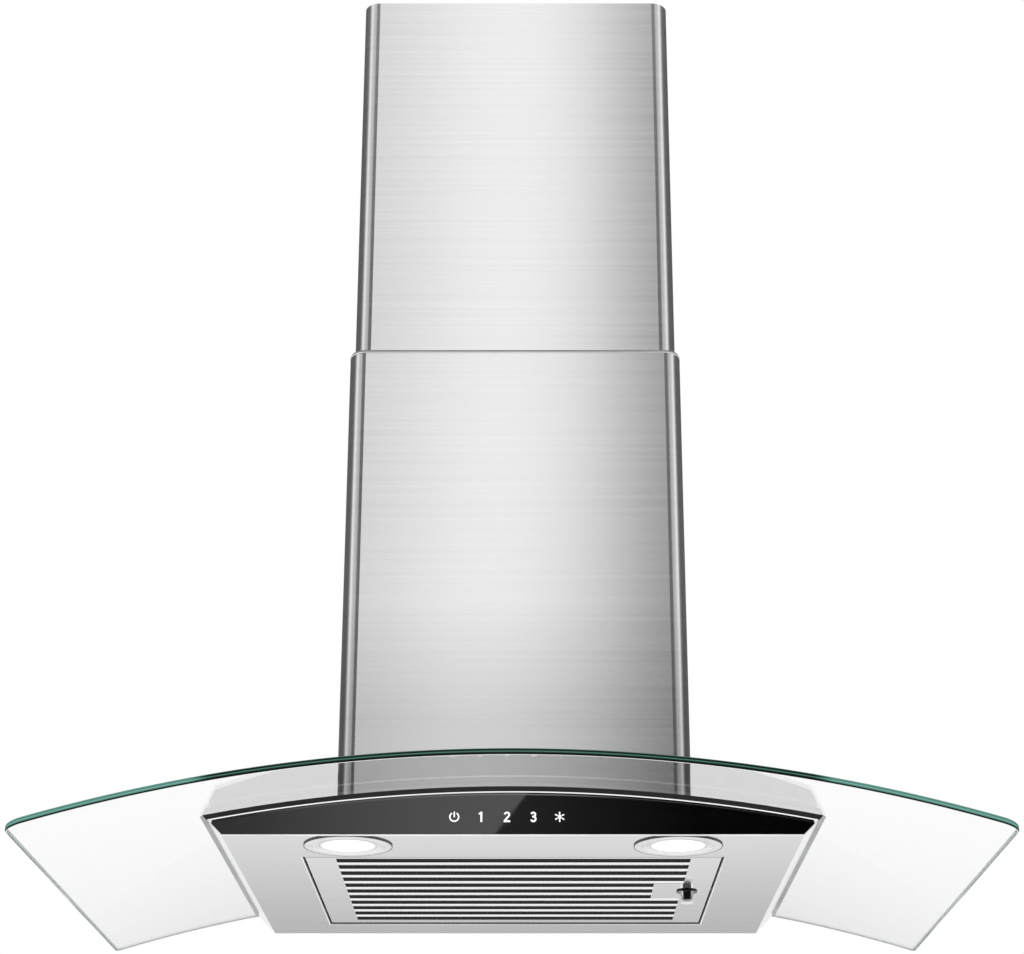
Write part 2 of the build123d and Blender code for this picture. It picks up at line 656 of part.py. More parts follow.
def make_damper_flap(side):
    """Half-round flap on one side of the pin; side is 1 at the back and -1 at the front."""
    axis = Pos(0, OUTLET_Y, FLAP_PIVOT_Z)
    flap_r = DUCT_R - COLLAR_WALL - FLAP_GAP
    disc = axis * Cylinder(flap_r, FLAP_THICK)
    root = OUTLET_Y + side * FLAP_ROOT
    far = OUTLET_Y + side * 2 * DUCT_R
    flap = disc & block((-TALL, TALL), sorted((root, far)), (0, TALL))
    knuckle_r = DAMPER_PIN_R + KNUCKLE_WALL
    start = KNUCKLE_PITCH * (side - 3) / 2
    for i in range(2):
        x = start + 2 * KNUCKLE_PITCH * i - KNUCKLE_LENGTH / 2 + KNUCKLE_PITCH / 2
        across = (x + FLAP_GAP, x + KNUCKLE_LENGTH - FLAP_GAP)
        flap += rod((across[0], OUTLET_Y, FLAP_PIVOT_Z), (1, 0, 0), knuckle_r, across[1] - across[0])
        half = FLAP_THICK / 2
        flap += block(across, sorted((OUTLET_Y, root)), (FLAP_PIVOT_Z - half, FLAP_PIVOT_Z + half))
    bore = rod((-2 * DUCT_R, OUTLET_Y, FLAP_PIVOT_Z), (1, 0, 0), DAMPER_PIN_R + RUNNING_FIT, 4 * DUCT_R)
    return flap - bore


def scroll_mouth():
    """Front and rear limits of the spiral's outlet."""
    rear = FAN_Y + SCROLL_START_R + 2.5 * SCROLL_GROWTH
    return rear - SCROLL_MOUTH, rear


def scroll_passage():
    """Air passage of the spiral: three quarter arcs of growing radius and a straight mouth."""
    g = SCROLL_GROWTH / 2
    r = SCROLL_START_R
    front, rear = scroll_mouth()
    ceiling = FAN_Z + r - g
    t = SCROLL_TONGUE_R
    outline = [
        Line((front, LID_Z), (front, ceiling + t)),
        CenterArc((front - t, ceiling + t), t, 270, 90),
        Line((front - t, ceiling), (FAN_Y - g, ceiling)),
        CenterArc((FAN_Y - g, FAN_Z - g), r, 90, 90),
        CenterArc((FAN_Y + g, FAN_Z - g), r + 2 * g, 180, 90),
        CenterArc((FAN_Y + g, FAN_Z + g), r + 4 * g, 270, 90),
        Line((rear, FAN_Z + g), (rear, LID_Z)),
        Line((rear, LID_Z), (front, LID_Z)),
    ]
    return make_face(Wire(outline))


def scroll_outline():
    """Outside of the spiral, cut level under the lid."""
    outside = offset(scroll_passage(), amount=SCROLL_SHEET)
    return outside - Pos(FAN_Y, LID_Z + LID_Z / 2) * Rectangle(2 * LID_Z, LID_Z)


def make_scroll_wrapper():
    wrapper = along_x(scroll_outline() - scroll_passage(), -SCROLL_HALF, SCROLL_HALF)
    front, rear = scroll_mouth()
    x = (-SCROLL_HALF, SCROLL_HALF)
    z = (LID_Z - SCROLL_SHEET, LID_Z)
    wrapper += block(x, (front - SCROLL_SHEET - SCROLL_FLANGE, front), z)
    wrapper += block(x, (rear, rear + SCROLL_SHEET + SCROLL_FLANGE), z)
    return wrapper


def scroll_side(side):
    """Side of the spiral with its flange under the lid."""
    faces = sorted((side * SCROLL_HALF, side * (SCROLL_HALF + SCROLL_SHEET)))
    cheek = along_x(scroll_outline(), *faces)
    reach = sorted((side * SCROLL_HALF, side * (SCROLL_HALF + SCROLL_SHEET + SCROLL_FLANGE)))
    return cheek + block(reach, scroll_mouth(), (LID_Z - SCROLL_SHEET, LID_Z))


def make_scroll_motor_side():
    cheek = scroll_side(-1)
    return cheek - rod((-BOX_HALF, FAN_Y, FAN_Z), (1, 0, 0), MOTOR_OPENING_R, BOX_HALF)


def make_scroll_inlet_side():
    cheek = scroll_side(1)
    face = SCROLL_HALF + SCROLL_SHEET
    cheek -= rod((0, FAN_Y, FAN_Z), (1, 0, 0), INLET_R + BELL_R, BOX_HALF)
    curl = Circle(BELL_R) - Circle(BELL_R - SCROLL_SHEET)
    curl &= Pos(BELL_R / 2, -BELL_R / 2) * Rectangle(BELL_R, BELL_R)
    curl = Plane.XZ.offset(-FAN_Y) * Pos(face - BELL_R, FAN_Z + INLET_R + BELL_R) * curl
    return cheek + revolve(curl, Axis((0, FAN_Y, FAN_Z), (1, 0, 0)))


def make_impeller():
    inner_r = WHEEL_R - WHEEL_RING
    axis = Plane.YZ * Pos(FAN_Y, FAN_Z)
    ring = Circle(WHEEL_R) - Circle(inner_r)
    blade = Circle(BLADE_BEND_R + BLADE_THICK / 2) - Circle(BLADE_BEND_R - BLADE_THICK / 2)
    half_plane = Pos(0, BLADE_BEND_R) * Rectangle(4 * BLADE_BEND_R, 2 * BLADE_BEND_R)
    blade = Pos(WHEEL_R - WHEEL_RING * 3 / 4, -BLADE_LEAN) * (blade & half_plane)
    blade &= Circle(WHEEL_R - BLADE_THICK / 2) - Circle(inner_r + BLADE_THICK / 2)
    start, end = -WHEEL_HALF + WHEEL_SHEET, WHEEL_HALF - WHEEL_SHEET
    blades = [axis * Pos(0, 0, start) * Rot(Z=360 / BLADE_COUNT * i) * extrude(blade, amount=end - start)
              for i in range(BLADE_COUNT)]
    disc = axis * Pos(0, 0, -WHEEL_HALF) * extrude(Circle(WHEEL_R), amount=WHEEL_SHEET)
    rim = axis * Pos(0, 0, end) * extrude(ring, amount=WHEEL_SHEET)
    hub = rod((-WHEEL_HALF, FAN_Y, FAN_Z), (1, 0, 0), HUB_R, HUB_LENGTH)
    wheel = (disc + hub).fuse(rim, *blades)
    return wheel - rod((-BOX_HALF, FAN_Y, FAN_Z), (1, 0, 0), SHAFT_R + RUNNING_FIT, 2 * BOX_HALF)


def make_motor_shaft():
    start = MOTOR_END_X + MOTOR_WALL
    end = -WHEEL_HALF + HUB_LENGTH
    return rod((start, FAN_Y, FAN_Z), (1, 0, 0), SHAFT_R, end - start)


def make_motor_housing():
    def turned(x_low, x_high, radius):
        return rod((x_low, FAN_Y, FAN_Z), (1, 0, 0), radius, x_high - x_low)

    can = turned(MOTOR_END_X, MOTOR_FACE_X, MOTOR_R)
    can = chamfer(can.edges().sort_by(Axis.X)[0], MOTOR_EDGE_R)
    flange = turned(MOTOR_FACE_X - MOTOR_FLANGE_THICK, MOTOR_FACE_X, MOTOR_FLANGE_R)
    nose = turned(MOTOR_FACE_X, MOTOR_FACE_X + BUSH_LENGTH, MOTOR_NOSE_R)
    bore = turned(MOTOR_END_X + MOTOR_WALL - RUNNING_FIT, 0, SHAFT_R + RUNNING_FIT)
    return can + flange + nose - bore


def make_motor_mounts():
    """Rubber bushes between the motor's flange and the spiral's side."""
    bushes = []
    for spot in PolarLocations(BUSH_CIRCLE_R, BUSH_COUNT).locations:
        start = (MOTOR_FACE_X, FAN_Y + spot.position.X, FAN_Z + spot.position.Y)
        bushes.append(rod(start, (1, 0, 0), BUSH_R, BUSH_LENGTH))
    return Compound(bushes)


def make_control_box():
    x = (-CONTROL_WIDTH / 2, CONTROL_WIDTH / 2)
    z = (CONTROL_Z, CONTROL_Z + CONTROL_HEIGHT)
    y_front = BOX_FRONT_Y - CONTROL_DEPTH + CONTROL_WALL
    box = block(x, (y_front, BOX_FRONT_Y), z)
    wall = CONTROL_WALL
    room_x = (x[0] + wall, x[1] - wall)
    room_z = (z[0] + wall, z[1] - wall)
    return box - block(room_x, (y_front - wall, BOX_FRONT_Y - wall), room_z)


def make_control_cover():
    x = (-CONTROL_WIDTH / 2, CONTROL_WIDTH / 2)
    y_front = BOX_FRONT_Y - CONTROL_DEPTH
    cover = block(x, (y_front, y_front + CONTROL_WALL), (CONTROL_Z, CONTROL_Z + CONTROL_HEIGHT))
    return fillet(cover.edges().filter_by(Axis.Y), CONTROL_WALL)


def capacitor_axis_y():
    return BOX_FRONT_Y - CAPACITOR_R - STRAP_SHEET - FIT


def make_capacitor():
    start = (-CAPACITOR_LENGTH / 2, capacitor_axis_y(), CAPACITOR_Z)
    can = rod(start, (1, 0, 0), CAPACITOR_R, CAPACITOR_LENGTH)
    return chamfer(can.edges().filter_by(GeomType.CIRCLE), CAPACITOR_R / 8)


def make_capacitor_clip():
    """Strap round the capacitor with a foot on the blower box."""
    start = (-STRAP_WIDTH / 2, capacitor_axis_y(), CAPACITOR_Z)
    outer_r = CAPACITOR_R + FIT + STRAP_SHEET
    strap = rod(start, (1, 0, 0), outer_r, STRAP_WIDTH)
    foot_z = (CAPACITOR_Z - outer_r - STRAP_FOOT, CAPACITOR_Z)
    foot = block((-STRAP_WIDTH / 2, STRAP_WIDTH / 2), (BOX_FRONT_Y - STRAP_SHEET, BOX_FRONT_Y), foot_z)
    room_start = (-CAPACITOR_LENGTH, capacitor_axis_y(), CAPACITOR_Z)
    return strap + foot - rod(room_start, (1, 0, 0), CAPACITOR_R + FIT, 2 * CAPACITOR_LENGTH)


def make_cable_grommet():
    spot = (GROMMET_X, GROMMET_Y)
    low = rod((*spot, LID_Z - GROMMET_RIM), (0, 0, 1), GROMMET_RIM_R, GROMMET_RIM)
    neck = rod((*spot, LID_Z), (0, 0, 1), GROMMET_NECK_R, LID_THICK)
    high = rod((*spot, LID_TOP), (0, 0, 1), GROMMET_RIM_R, GROMMET_RIM)
    return low + neck + high - rod((*spot, 0), (0, 0, 1), GROMMET_BORE_R, 2 * LID_Z)


def turned_about_z(points, x, y):
    """Ring turned from an outline of radius and height."""
    return Pos(x, y, 0) * revolve(Plane.XZ * Polygon(*points, align=None), Axis.Z)


def make_lamp_bezel(x):
    thick, groove = LAMP_BEZEL_THICK, LAMP_GROOVE
    points = [
        (LAMP_LENS_R + LAMP_FIT, 0),
        (LAMP_LENS_R + LAMP_FIT, -thick / 2),
        (LAMP_GROOVE_R - groove, -thick),
        (LAMP_GROOVE_R, -thick + groove),
        (LAMP_GROOVE_R + groove, -thick),
        (LAMP_BEZEL_R - thick / 2, -thick),
        (LAMP_BEZEL_R, -thick / 2),
        (LAMP_BEZEL_R, 0),
    ]
    return turned_about_z(points, x, LAMP_Y)


def make_lamp_lens(x):
    low = -LAMP_BEZEL_THICK / 2
    lens = rod((x, LAMP_Y, low), (0, 0, 1), LAMP_LENS_R, LAMP_LENS_THICK)
    return chamfer(lens.edges().group_by(Axis.Z)[0], LAMP_LENS_CHAMFER)


def make_lamp_body(x):
    can = rod((x, LAMP_Y, 0), (0, 0, 1), LAMP_CAN_R, LAMP_CAN_HEIGHT)
    can = chamfer(can.edges().group_by(Axis.Z)[-1], LAMP_CAN_WALL)
    return can - rod((x, LAMP_Y, -LAMP_CAN_WALL), (0, 0, 1), LAMP_CAN_R - LAMP_CAN_WALL, LAMP_CAN_HEIGHT)


def make_lamp_clips(x):
    """Two bent springs that press a lamp against the body's sheet."""
    clips = []
    y = (LAMP_Y - LAMP_CLIP_WIDTH / 2, LAMP_Y + LAMP_CLIP_WIDTH / 2)
    can = rod((x, LAMP_Y, 0), (0, 0, 1), LAMP_CAN_R, LAMP_CAN_HEIGHT)
    for side in (-1, 1):
        near = x + side * (LAMP_CAN_R - LAMP_CLIP_SHEET)
        leg = x + side * (LAMP_CAN_R + LAMP_CLIP_SHEET)
        tip = x + side * (LAMP_CAN_R + LAMP_CLIP_REACH)
        clip = block(sorted((near, tip)), y, (BODY_SHEET, BODY_SHEET + LAMP_CLIP_SHEET))
        clip += block(sorted((near, leg)), y, (BODY_SHEET, BODY_SHEET + LAMP_CLIP_HEIGHT))
        clips.append(clip - can)
    return Compound(clips)


def slot_row(i):
    """Middle of one of the filter's slots, counted from the front."""
    return SLOT_FIELD_Y + SLOT_PITCH * (i - (SLOT_COUNT - 1) / 2)


def filter_slot(i):
    x_right = SLOT_LENGTH / 2 - (SLOT_SHORTENING if i in LATCH_ROWS else 0)
    y = (slot_row(i) - SLOT_WIDTH / 2, slot_row(i) + SLOT_WIDTH / 2)
    return block((-SLOT_LENGTH / 2, x_right), y, (-FILTER_HEIGHT, FILTER_HEIGHT))


def latch_y():
    return slot_row(LATCH_ROWS[1])


def bolt_limits():
    """The bolt's limits across, in depth and in height, with the bolt thrown."""
    tip = FILTER_RIGHT + FILTER_GAP + BOLT_OVERHANG
    low = BODY_SHEET + BOLT_LIFT
    y = (latch_y() - BOLT_WIDTH / 2, latch_y() + BOLT_WIDTH / 2)
    return (tip - BOLT_LENGTH, tip), y, (low, low + BOLT_THICK)


def grown(limits, gap):
    return tuple((low - gap, high + gap) for low, high in limits)


def make_filter_face():
    x, y = (FILTER_LEFT, FILTER_RIGHT), (FILTER_FRONT, FILTER_REAR)
    sheet = FILTER_SHEET
    pan = block(x, y, (0, FILTER_HEIGHT))
    pan -= block((x[0] + sheet, x[1] - sheet), (y[0] + sheet, y[1] - sheet), (sheet, 2 * FILTER_HEIGHT))
    for i in range(SLOT_COUNT):
        pan -= filter_slot(i)
    stem = STEM_R + LATCH_GAP
    stem_x = (LATCH_X - LATCH_TRAVEL - stem, LATCH_X + stem)
    pan -= block(stem_x, (latch_y() - stem, latch_y() + stem), (-sheet, 2 * sheet))
    return pan - block(*grown(bolt_limits(), LATCH_GAP))


def guide_limits():
    """Ends of the latch's guide across."""
    x_high = FILTER_RIGHT - FILTER_SHEET - LATCH_GAP
    return x_high - GUIDE_LENGTH, x_high


def make_filter_mesh():
    """Pleated mesh between the face and the back, with its folds running across the filter."""
    edge = FILTER_SHEET + MESH_GAP
    pitch = SLOT_PITCH / PLEATS_PER_SLOT
    count = int((FILTER_DEPTH - 2 * edge) / pitch)
    first = FILTER_Y - pitch * count / 2
    low, high = FILTER_SHEET, FILTER_HEIGHT - 2 * BACK_SHEET - PLEAT_THICK
    under = [(first, low)]
    for i in range(count):
        start = first + pitch * i
        under.append((start + PLEAT_FLAT, low))
        under.append((start + pitch / 2, high))
        under.append((start + pitch / 2 + PLEAT_FLAT, high))
        under.append((start + pitch, low))
    over = [(y, z + PLEAT_THICK) for y, z in reversed(under)]
    pad = along_x(Polygon(*under, *over, align=None), FILTER_LEFT + edge, FILTER_RIGHT - edge)
    side = BOLT_WIDTH / 2 + LATCH_GAP + 2 * GUIDE_SHEET
    room_x = (guide_limits()[0] - GUIDE_SHEET, FILTER_RIGHT)
    room_y = (latch_y() - side, latch_y() + side)
    return pad - block(room_x, room_y, (-FILTER_HEIGHT, 2 * FILTER_HEIGHT))


def make_filter_back():
    """Back sheet whose slots lie between those of the face."""
    edge = FILTER_SHEET + MESH_GAP
    z = (FILTER_HEIGHT - 2 * BACK_SHEET, FILTER_HEIGHT - BACK_SHEET)
    back = block((FILTER_LEFT + edge, FILTER_RIGHT - edge), (FILTER_FRONT + edge, FILTER_REAR - edge), z)
    for i in range(SLOT_COUNT - 1):
        back -= Pos(0, SLOT_PITCH / 2, 0) * filter_slot(i)
    return back


def make_filter_hooks():
    """Tabs on the filter's left edge that rest over the body's sheet."""
    hooks = []
    low = BODY_SHEET + HOOK_LIFT
    for side in (-1, 1):
        middle = FILTER_Y + side * HOOK_SPACING / 2
        y = (middle - HOOK_WIDTH / 2, middle + HOOK_WIDTH / 2)
        tab = block((FILTER_LEFT - HOOK_REACH, FILTER_LEFT), y, (low, low + FILTER_SHEET))
        hooks.append(tab + block((FILTER_LEFT - FILTER_SHEET, FILTER_LEFT), y, (low, low + HOOK_RISE)))
    return Compound(hooks)


def make_latch_guide():
    """Channel over the bolt, with an end wall for the spring."""
    sheet = GUIDE_SHEET
    side = BOLT_WIDTH / 2 + LATCH_GAP
    x = guide_limits()
    under = bolt_limits()[2][1] + LATCH_GAP
    guide = block(x, (latch_y() - side - sheet, latch_y() + side + sheet), (FILTER_SHEET, under + sheet))
    return guide - block((x[0] + sheet, x[1] + sheet), (latch_y() - side, latch_y() + side), (0, under))


def make_latch_bolt():
    x, y, z = bolt_limits()
    bolt = block(x, y, z)
    tip = bolt.edges().filter_by(Axis.Y).sort_by(lambda e: e.center().X - e.center().Z)[-1]
    bolt = chamfer(tip, BOLT_CHAMFER)
    return bolt - rod((LATCH_X, latch_y(), 0), (0, 0, 1), STEM_R + STEM_FIT, FILTER_HEIGHT)


def make_latch_knob():
    top = -LATCH_GAP
    collar = rod((LATCH_X, latch_y(), top), (0, 0, -1), KNOB_COLLAR_R, KNOB_COLLAR)
    stem = rod((LATCH_X, latch_y(), top), (0, 0, 1), STEM_R, bolt_limits()[2][1] - top)
    grip_top = top - KNOB_COLLAR
    points = [
        (0, grip_top),
        (KNOB_TOP_R, grip_top),
        (KNOB_WAIST_R, grip_top - KNOB_WAIST_DROP),
        (KNOB_RIM_R, grip_top - KNOB_LENGTH),
        (0, grip_top - KNOB_LENGTH),
    ]
    grip = turned_about_z(points, LATCH_X, latch_y())
    return collar + stem + grip


def make_latch_spring():
    x, y, z = bolt_limits()
    start = guide_limits()[0] + GUIDE_SHEET + SPRING_WIRE_R + FIT
    end = x[0] - SPRING_WIRE_R - FIT
    height = end - start
    path = Helix(height / SPRING_TURNS, height, SPRING_R)
    section = Plane(origin=path @ 0, z_dir=path % 0) * RegularPolygon(SPRING_WIRE_R, SPRING_WIRE_SIDES)
    coil = sweep(section, path=path)
    return Plane(origin=(start, latch_y(), (z[0] + z[1]) / 2), z_dir=(1, 0, 0)) * coil


def make_pieces():
    """Every piece by name, at its place above the underside."""
    pieces = {
        "canopy_glass": make_canopy_glass(),
        "glass_gasket": make_glass_gasket(),
        "glass_sleeves": make_glass_sleeves(),
        "glass_screws": make_glass_screws(),
        "body_shell": make_body_shell(),
        "top_plate": make_top_plate(),
        "front_panel": make_front_panel(),
        "panel_trim": make_front_strip(TRIM_TOP_R - TRIM_HEIGHT, TRIM_TOP_R),
        "front_seal": make_front_strip(SEAL_TOP_R - SEAL_HEIGHT, SEAL_TOP_R),
        "touch_board": make_touch_board(),
        "touch_pads": make_touch_pads(),
        "lower_chimney": make_lower_chimney(),
        "chimney_clips": make_chimney_clips(),
        "chimney_screws": make_side_screws(CHIMNEY_WIDTH / 2, CLIP_Z + CLIP_HEIGHT / 2),
        "chimney_glides": make_chimney_glides(),
        "upper_chimney": make_upper_chimney(),
        "chimney_bracket": make_chimney_bracket(),
        "bracket_screws": make_side_screws(upper_half(), BRACKET_Z + BRACKET_HEIGHT / 2),
        "blower_box": make_blower_box(),
        "box_lid": make_box_lid(),
        "box_screws": make_box_screws(),
        "wall_plate": make_wall_plate(),
        "outlet_collar": make_outlet_collar(),
        "damper_pin": make_damper_pin(),
        "damper_flap_front": make_damper_flap(-1),
        "damper_flap_rear": make_damper_flap(1),
        "scroll_wrapper": make_scroll_wrapper(),
        "scroll_motor_side": make_scroll_motor_side(),
        "scroll_inlet_side": make_scroll_inlet_side(),
        "impeller": make_impeller(),
        "motor_shaft": make_motor_shaft(),
        "motor_housing": make_motor_housing(),
        "motor_mounts": make_motor_mounts(),
        "control_box": make_control_box(),
        "control_cover": make_control_cover(),
        "capacitor": make_capacitor(),
        "capacitor_clip": make_capacitor_clip(),
        "cable_grommet": make_cable_grommet(),
        "filter_face": make_filter_face(),
        "filter_mesh": make_filter_mesh(),
        "filter_back": make_filter_back(),
        "filter_hooks": make_filter_hooks(),
        "latch_guide": make_latch_guide(),
        "latch_bolt": make_latch_bolt(),
        "latch_knob": make_latch_knob(),
        "latch_spring": make_latch_spring(),
    }
    for name, x in (("left", -LAMP_X), ("right", LAMP_X)):
        pieces[f"lamp_bezel_{name}"] = make_lamp_bezel(x)
        pieces[f"lamp_lens_{name}"] = make_lamp_lens(x)
        pieces[f"lamp_body_{name}"] = make_lamp_body(x)
        pieces[f"lamp_clips_{name}"] = make_lamp_clips(x)
    return pieces


os.makedirs("parts", exist_ok=True)
for node, shape in make_pieces().items():
    export_step(Pos(0, 0, -WALL_HOLES_Z) * shape, f"parts/{node}.step")
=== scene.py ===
import json
import math

import bmesh
import bpy
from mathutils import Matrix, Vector


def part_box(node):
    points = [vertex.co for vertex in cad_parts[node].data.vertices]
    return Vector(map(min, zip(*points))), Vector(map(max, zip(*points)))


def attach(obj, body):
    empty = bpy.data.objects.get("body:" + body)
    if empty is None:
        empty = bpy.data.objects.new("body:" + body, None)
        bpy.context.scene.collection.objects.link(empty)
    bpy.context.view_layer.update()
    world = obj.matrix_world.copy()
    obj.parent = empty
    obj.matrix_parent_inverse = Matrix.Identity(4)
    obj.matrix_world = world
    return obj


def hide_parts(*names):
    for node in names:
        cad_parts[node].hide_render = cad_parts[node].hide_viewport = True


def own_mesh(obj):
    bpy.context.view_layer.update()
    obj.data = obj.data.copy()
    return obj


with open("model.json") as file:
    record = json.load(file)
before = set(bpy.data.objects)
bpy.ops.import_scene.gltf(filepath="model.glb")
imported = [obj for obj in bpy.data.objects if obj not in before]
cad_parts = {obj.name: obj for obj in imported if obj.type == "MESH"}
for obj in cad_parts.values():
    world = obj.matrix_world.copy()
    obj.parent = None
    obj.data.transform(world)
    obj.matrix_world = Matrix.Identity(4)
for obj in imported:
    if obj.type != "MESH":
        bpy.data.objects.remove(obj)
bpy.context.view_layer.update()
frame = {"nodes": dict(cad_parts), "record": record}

MM = 0.001
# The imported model's origin lies this far above the underside of the body
UNDERSIDE = -220 * MM

# Photograph
CAMERA_LENS = 79.807
CAMERA_SENSOR = 36.0
CAMERA_SPOT = (0.01179, -2.14077, -0.62290)
CAMERA_TILT = 21.476
CAMERA_SHIFT = (-0.01565, 0.022)

# Floor, and the lights with their place, diameter and power, which all face one spot
FLOOR_DROP = 1600 * MM
FLOOR_RADIUS = 4.8
FLOOR_BACK = 1.0
FLOOR_STEPS = 96
SOFTBOXES = {"key softbox": ((-1.7, -2.3, 2.2), 1.5, 26), "fill softbox": ((1.9, -2.1, 1.8), 1.5, 14)}
SOFTBOX_TARGET = (0, -0.2, 0)

# Brightness of the studio, by degrees from straight ahead: in front, and further round on both sides
FRONT_BANDS = [
    (-10, 0.13), (-8, 0.62), (-6, 0.72), (-4.5, 0.80), (-3, 0.94), (-1.5, 1.10), (-0.5, 1.15), (0.8, 1.12),
    (1.8, 0.96), (2.7, 0.64), (3.9, 0.30), (7, 0.26), (9, 0.13), (10, 0.13),
]
SIDE_BANDS = [
    (0, 0.13), (25, 0.13), (28, 0.40), (34, 0.50), (50, 0.66), (60, 0.92), (67, 1.0), (78, 0.30), (90, 0.12),
    (122, 0.12), (140, 0.90), (180, 0.95),
]
FRONT_BANDS_END = (9.5, 10.0)
# Brightness of the floor by the height of the direction: behind the hood, and in front where the direction
# points forward enough
BACK_FLOOR = [
    (-0.40, 0.97), (-0.25, 0.94), (-0.225, 0.83), (-0.203, 0.63), (-0.186, 0.41), (-0.12, 0.32), (0, 0.32),
]
FRONT_FLOOR_HEIGHTS = (-0.14, -0.06)
FRONT_FLOOR_LEVELS = (0.10, 0.70)
FRONT_FACING = (0.2, 0.6)
# Heights where the floor gives way to the bands and the bands to the ceiling, and a dark field high up behind
HORIZON = (-0.02, 0.08)
CEILING_HEIGHTS = (0.60, 0.75)
CEILING_LEVEL = 1.1
DARK_BACK_TURN = (118.0, 126.0)
DARK_BACK_HEIGHTS = (0.14, 0.24)
DARK_BACK_LEVEL = 0.12
# The card that the front panel shows: its lit and its dark side by degrees, the line between them, its limits
CARD_LIT = [(-180, 0.50), (-8.2, 0.50), (-7.4, 0.56), (-5.1, 0.985), (-2.5, 1.39), (-0.4, 1.50), (180, 1.50)]
CARD_DARK = [(-180, 0.30), (-0.4, 0.28), (0.8, 0.18), (2.4, 0.085), (4.4, 0.008), (6.7, 0.0), (180, 0.0)]
CARD_EDGE = (-0.05308, 0.010342, 0.041090)
CARD_EDGE_BLUR = 2e-5
CARD_FOOT = (0.200, 0.218)
CARD_TOP = (0.250, 0.264)
CARD_HALF = (9.0, 11.0)
# Level of the white room wherever it isn't mirrored
ROOM_LEVEL = 1.0

# Glass canopy
ARCH_TOP_R = 1280.0 * MM
ARCH_CROWN = 43.5 * MM
ARCH_CENTRE = UNDERSIDE + ARCH_CROWN - ARCH_TOP_R
GLASS_THICK = 5.0 * MM
GLASS_HALF = 375.0 * MM
GLASS_FRONT = -502.0 * MM
GLASS_REAR = -2.0 * MM
GLASS_FRONT_CORNER = 14.0 * MM
GLASS_REAR_CORNER = 5.0 * MM
GLASS_NOTCH_HALF = 134.0 * MM
GLASS_NOTCH_FRONT = -245.0 * MM
GLASS_EDGE_ROUND = 1.3 * MM
GLASS_COLUMNS = 30
GLASS_CORNER_STEPS = 8
# Painted shade: the glass darkens between these two depths, down to this level
GLASS_SHADE_DEPTHS = (-450 * MM, -40 * MM)
GLASS_SHADE_LEVEL = 0.87
# Painted highlight and shade lines through the thickness of the pane's edge, from the underside at 0 to the
# top at 1: in front of the body, in front but beside the body, and along the sides and the back
EDGE_LINES = [
    (0, 0.03), (0.27, 0.03), (0.31, 0.22), (0.40, 0.22), (0.44, 1.3), (0.55, 1.3), (0.59, 0.07), (0.80, 0.07),
    (0.86, 0.75), (1, 0.9),
]
EDGE_LINES_BESIDE = [
    (0, 0.03), (0.24, 0.03), (0.28, 0.5), (0.38, 0.55), (0.44, 0.92), (0.55, 0.92), (0.59, 0.5), (0.80, 0.5),
    (0.86, 0.7), (1, 0.75),
]
EDGE_LINES_SIDE = [(0, 0.08), (0.20, 0.08), (0.28, 1.0), (1, 1.0)]
# A painted white highlight along the bottom of the front edge ends between these shares of the thickness
EDGE_ARRIS_HIGHLIGHT = (0.03, 0.045)
# Places across where the front edge passes the body's side, and depths where it turns into the side edge
EDGE_BESIDE = (222 * MM, 240 * MM)
EDGE_FRONT_END = (-490 * MM, -480 * MM)

# Touch symbols on the front panel, drawn one unit tall
SYMBOL_TALL = 8.2 * MM
SYMBOL_PITCH = 20.5 * MM
SYMBOL_MIDDLE = (-4.6 * MM, 13.9 * MM)
SYMBOL_LIFT = 0.06 * MM
SIGN_STROKE = 0.17

# Strips between the filter's slots
SLOT_PITCH = 24.1 * MM
SLOT_WIDTH = 13.8 * MM
SLOT_LENGTH = 288.0 * MM
SLOT_SHORTENING = 25.0 * MM
SLOT_ROWS = 11
LATCH_ROWS = (4, 5, 6)
SLOT_FIELD_Y = -193.3 * MM
STRIP_BULGE = 0.7 * MM
# Dark sheets of painted shade on the slots' rear walls and ends: their height and thickness
SLOT_SHADE_HIGH = 1.4 * MM
SLOT_SHADE_THICK = 0.15 * MM

# Latch of the filter: its spring, and the painted dark reflection and shade on its knob by width, depth and
# height
SPRING_TURNS = 5
SPRING_WIRE_R = 0.35 * MM
KNOB_PAINTED_DARK_HALF = (3.2 * MM, 4.0 * MM)
KNOB_FRONT_FADE = 1 * MM
KNOB_GRIP_FOOT = (2.3 * MM, 2.6 * MM)
KNOB_COLLAR_DROP = (1.3 * MM, 1.1 * MM)

# Opening of the filter in the body's underside
OPENING_HALF = 169.5 * MM
OPENING_FRONT = -326.8 * MM
OPENING_REAR = -51.8 * MM
# Black strips of painted shade in the gap beside and behind the filter, and pale strips of painted highlight
# outside them
GAP_SHADE_WIDE = 1.0 * MM
GAP_SHADE_WIDE_REAR = 6.5 * MM
GAP_STRIP_THICK = 0.3 * MM
GAP_HIGHLIGHT_WIDE = 2.5 * MM
GAP_HIGHLIGHT_WIDE_SIDE = 1.2 * MM

# Body and front panel
BODY_HALF_LOW = 226.5 * MM
BODY_FRONT = -407.0 * MM
# Grey seal beads under the glass along the body's sides, whose grey is a painted reflection of those sides in
# the glass
SIDE_SEAL_REFLECTION = (240.3 * MM, 243.9 * MM)
SIDE_SEAL_REFLECTION_THICK = 0.5 * MM
SIDE_SEAL_REFLECTION_GAP = 0.05 * MM
SIDE_SEAL_REFLECTION_FRONT = BODY_FRONT + 3 * MM
SIDE_SEAL_REFLECTION_REAR = -12.0 * MM
TRIM_R = 1270.25 * MM
TRIM_RIDGE = 1.1 * MM
TRIM_PROUD = 0.6 * MM
TRIM_END = 237.2 * MM
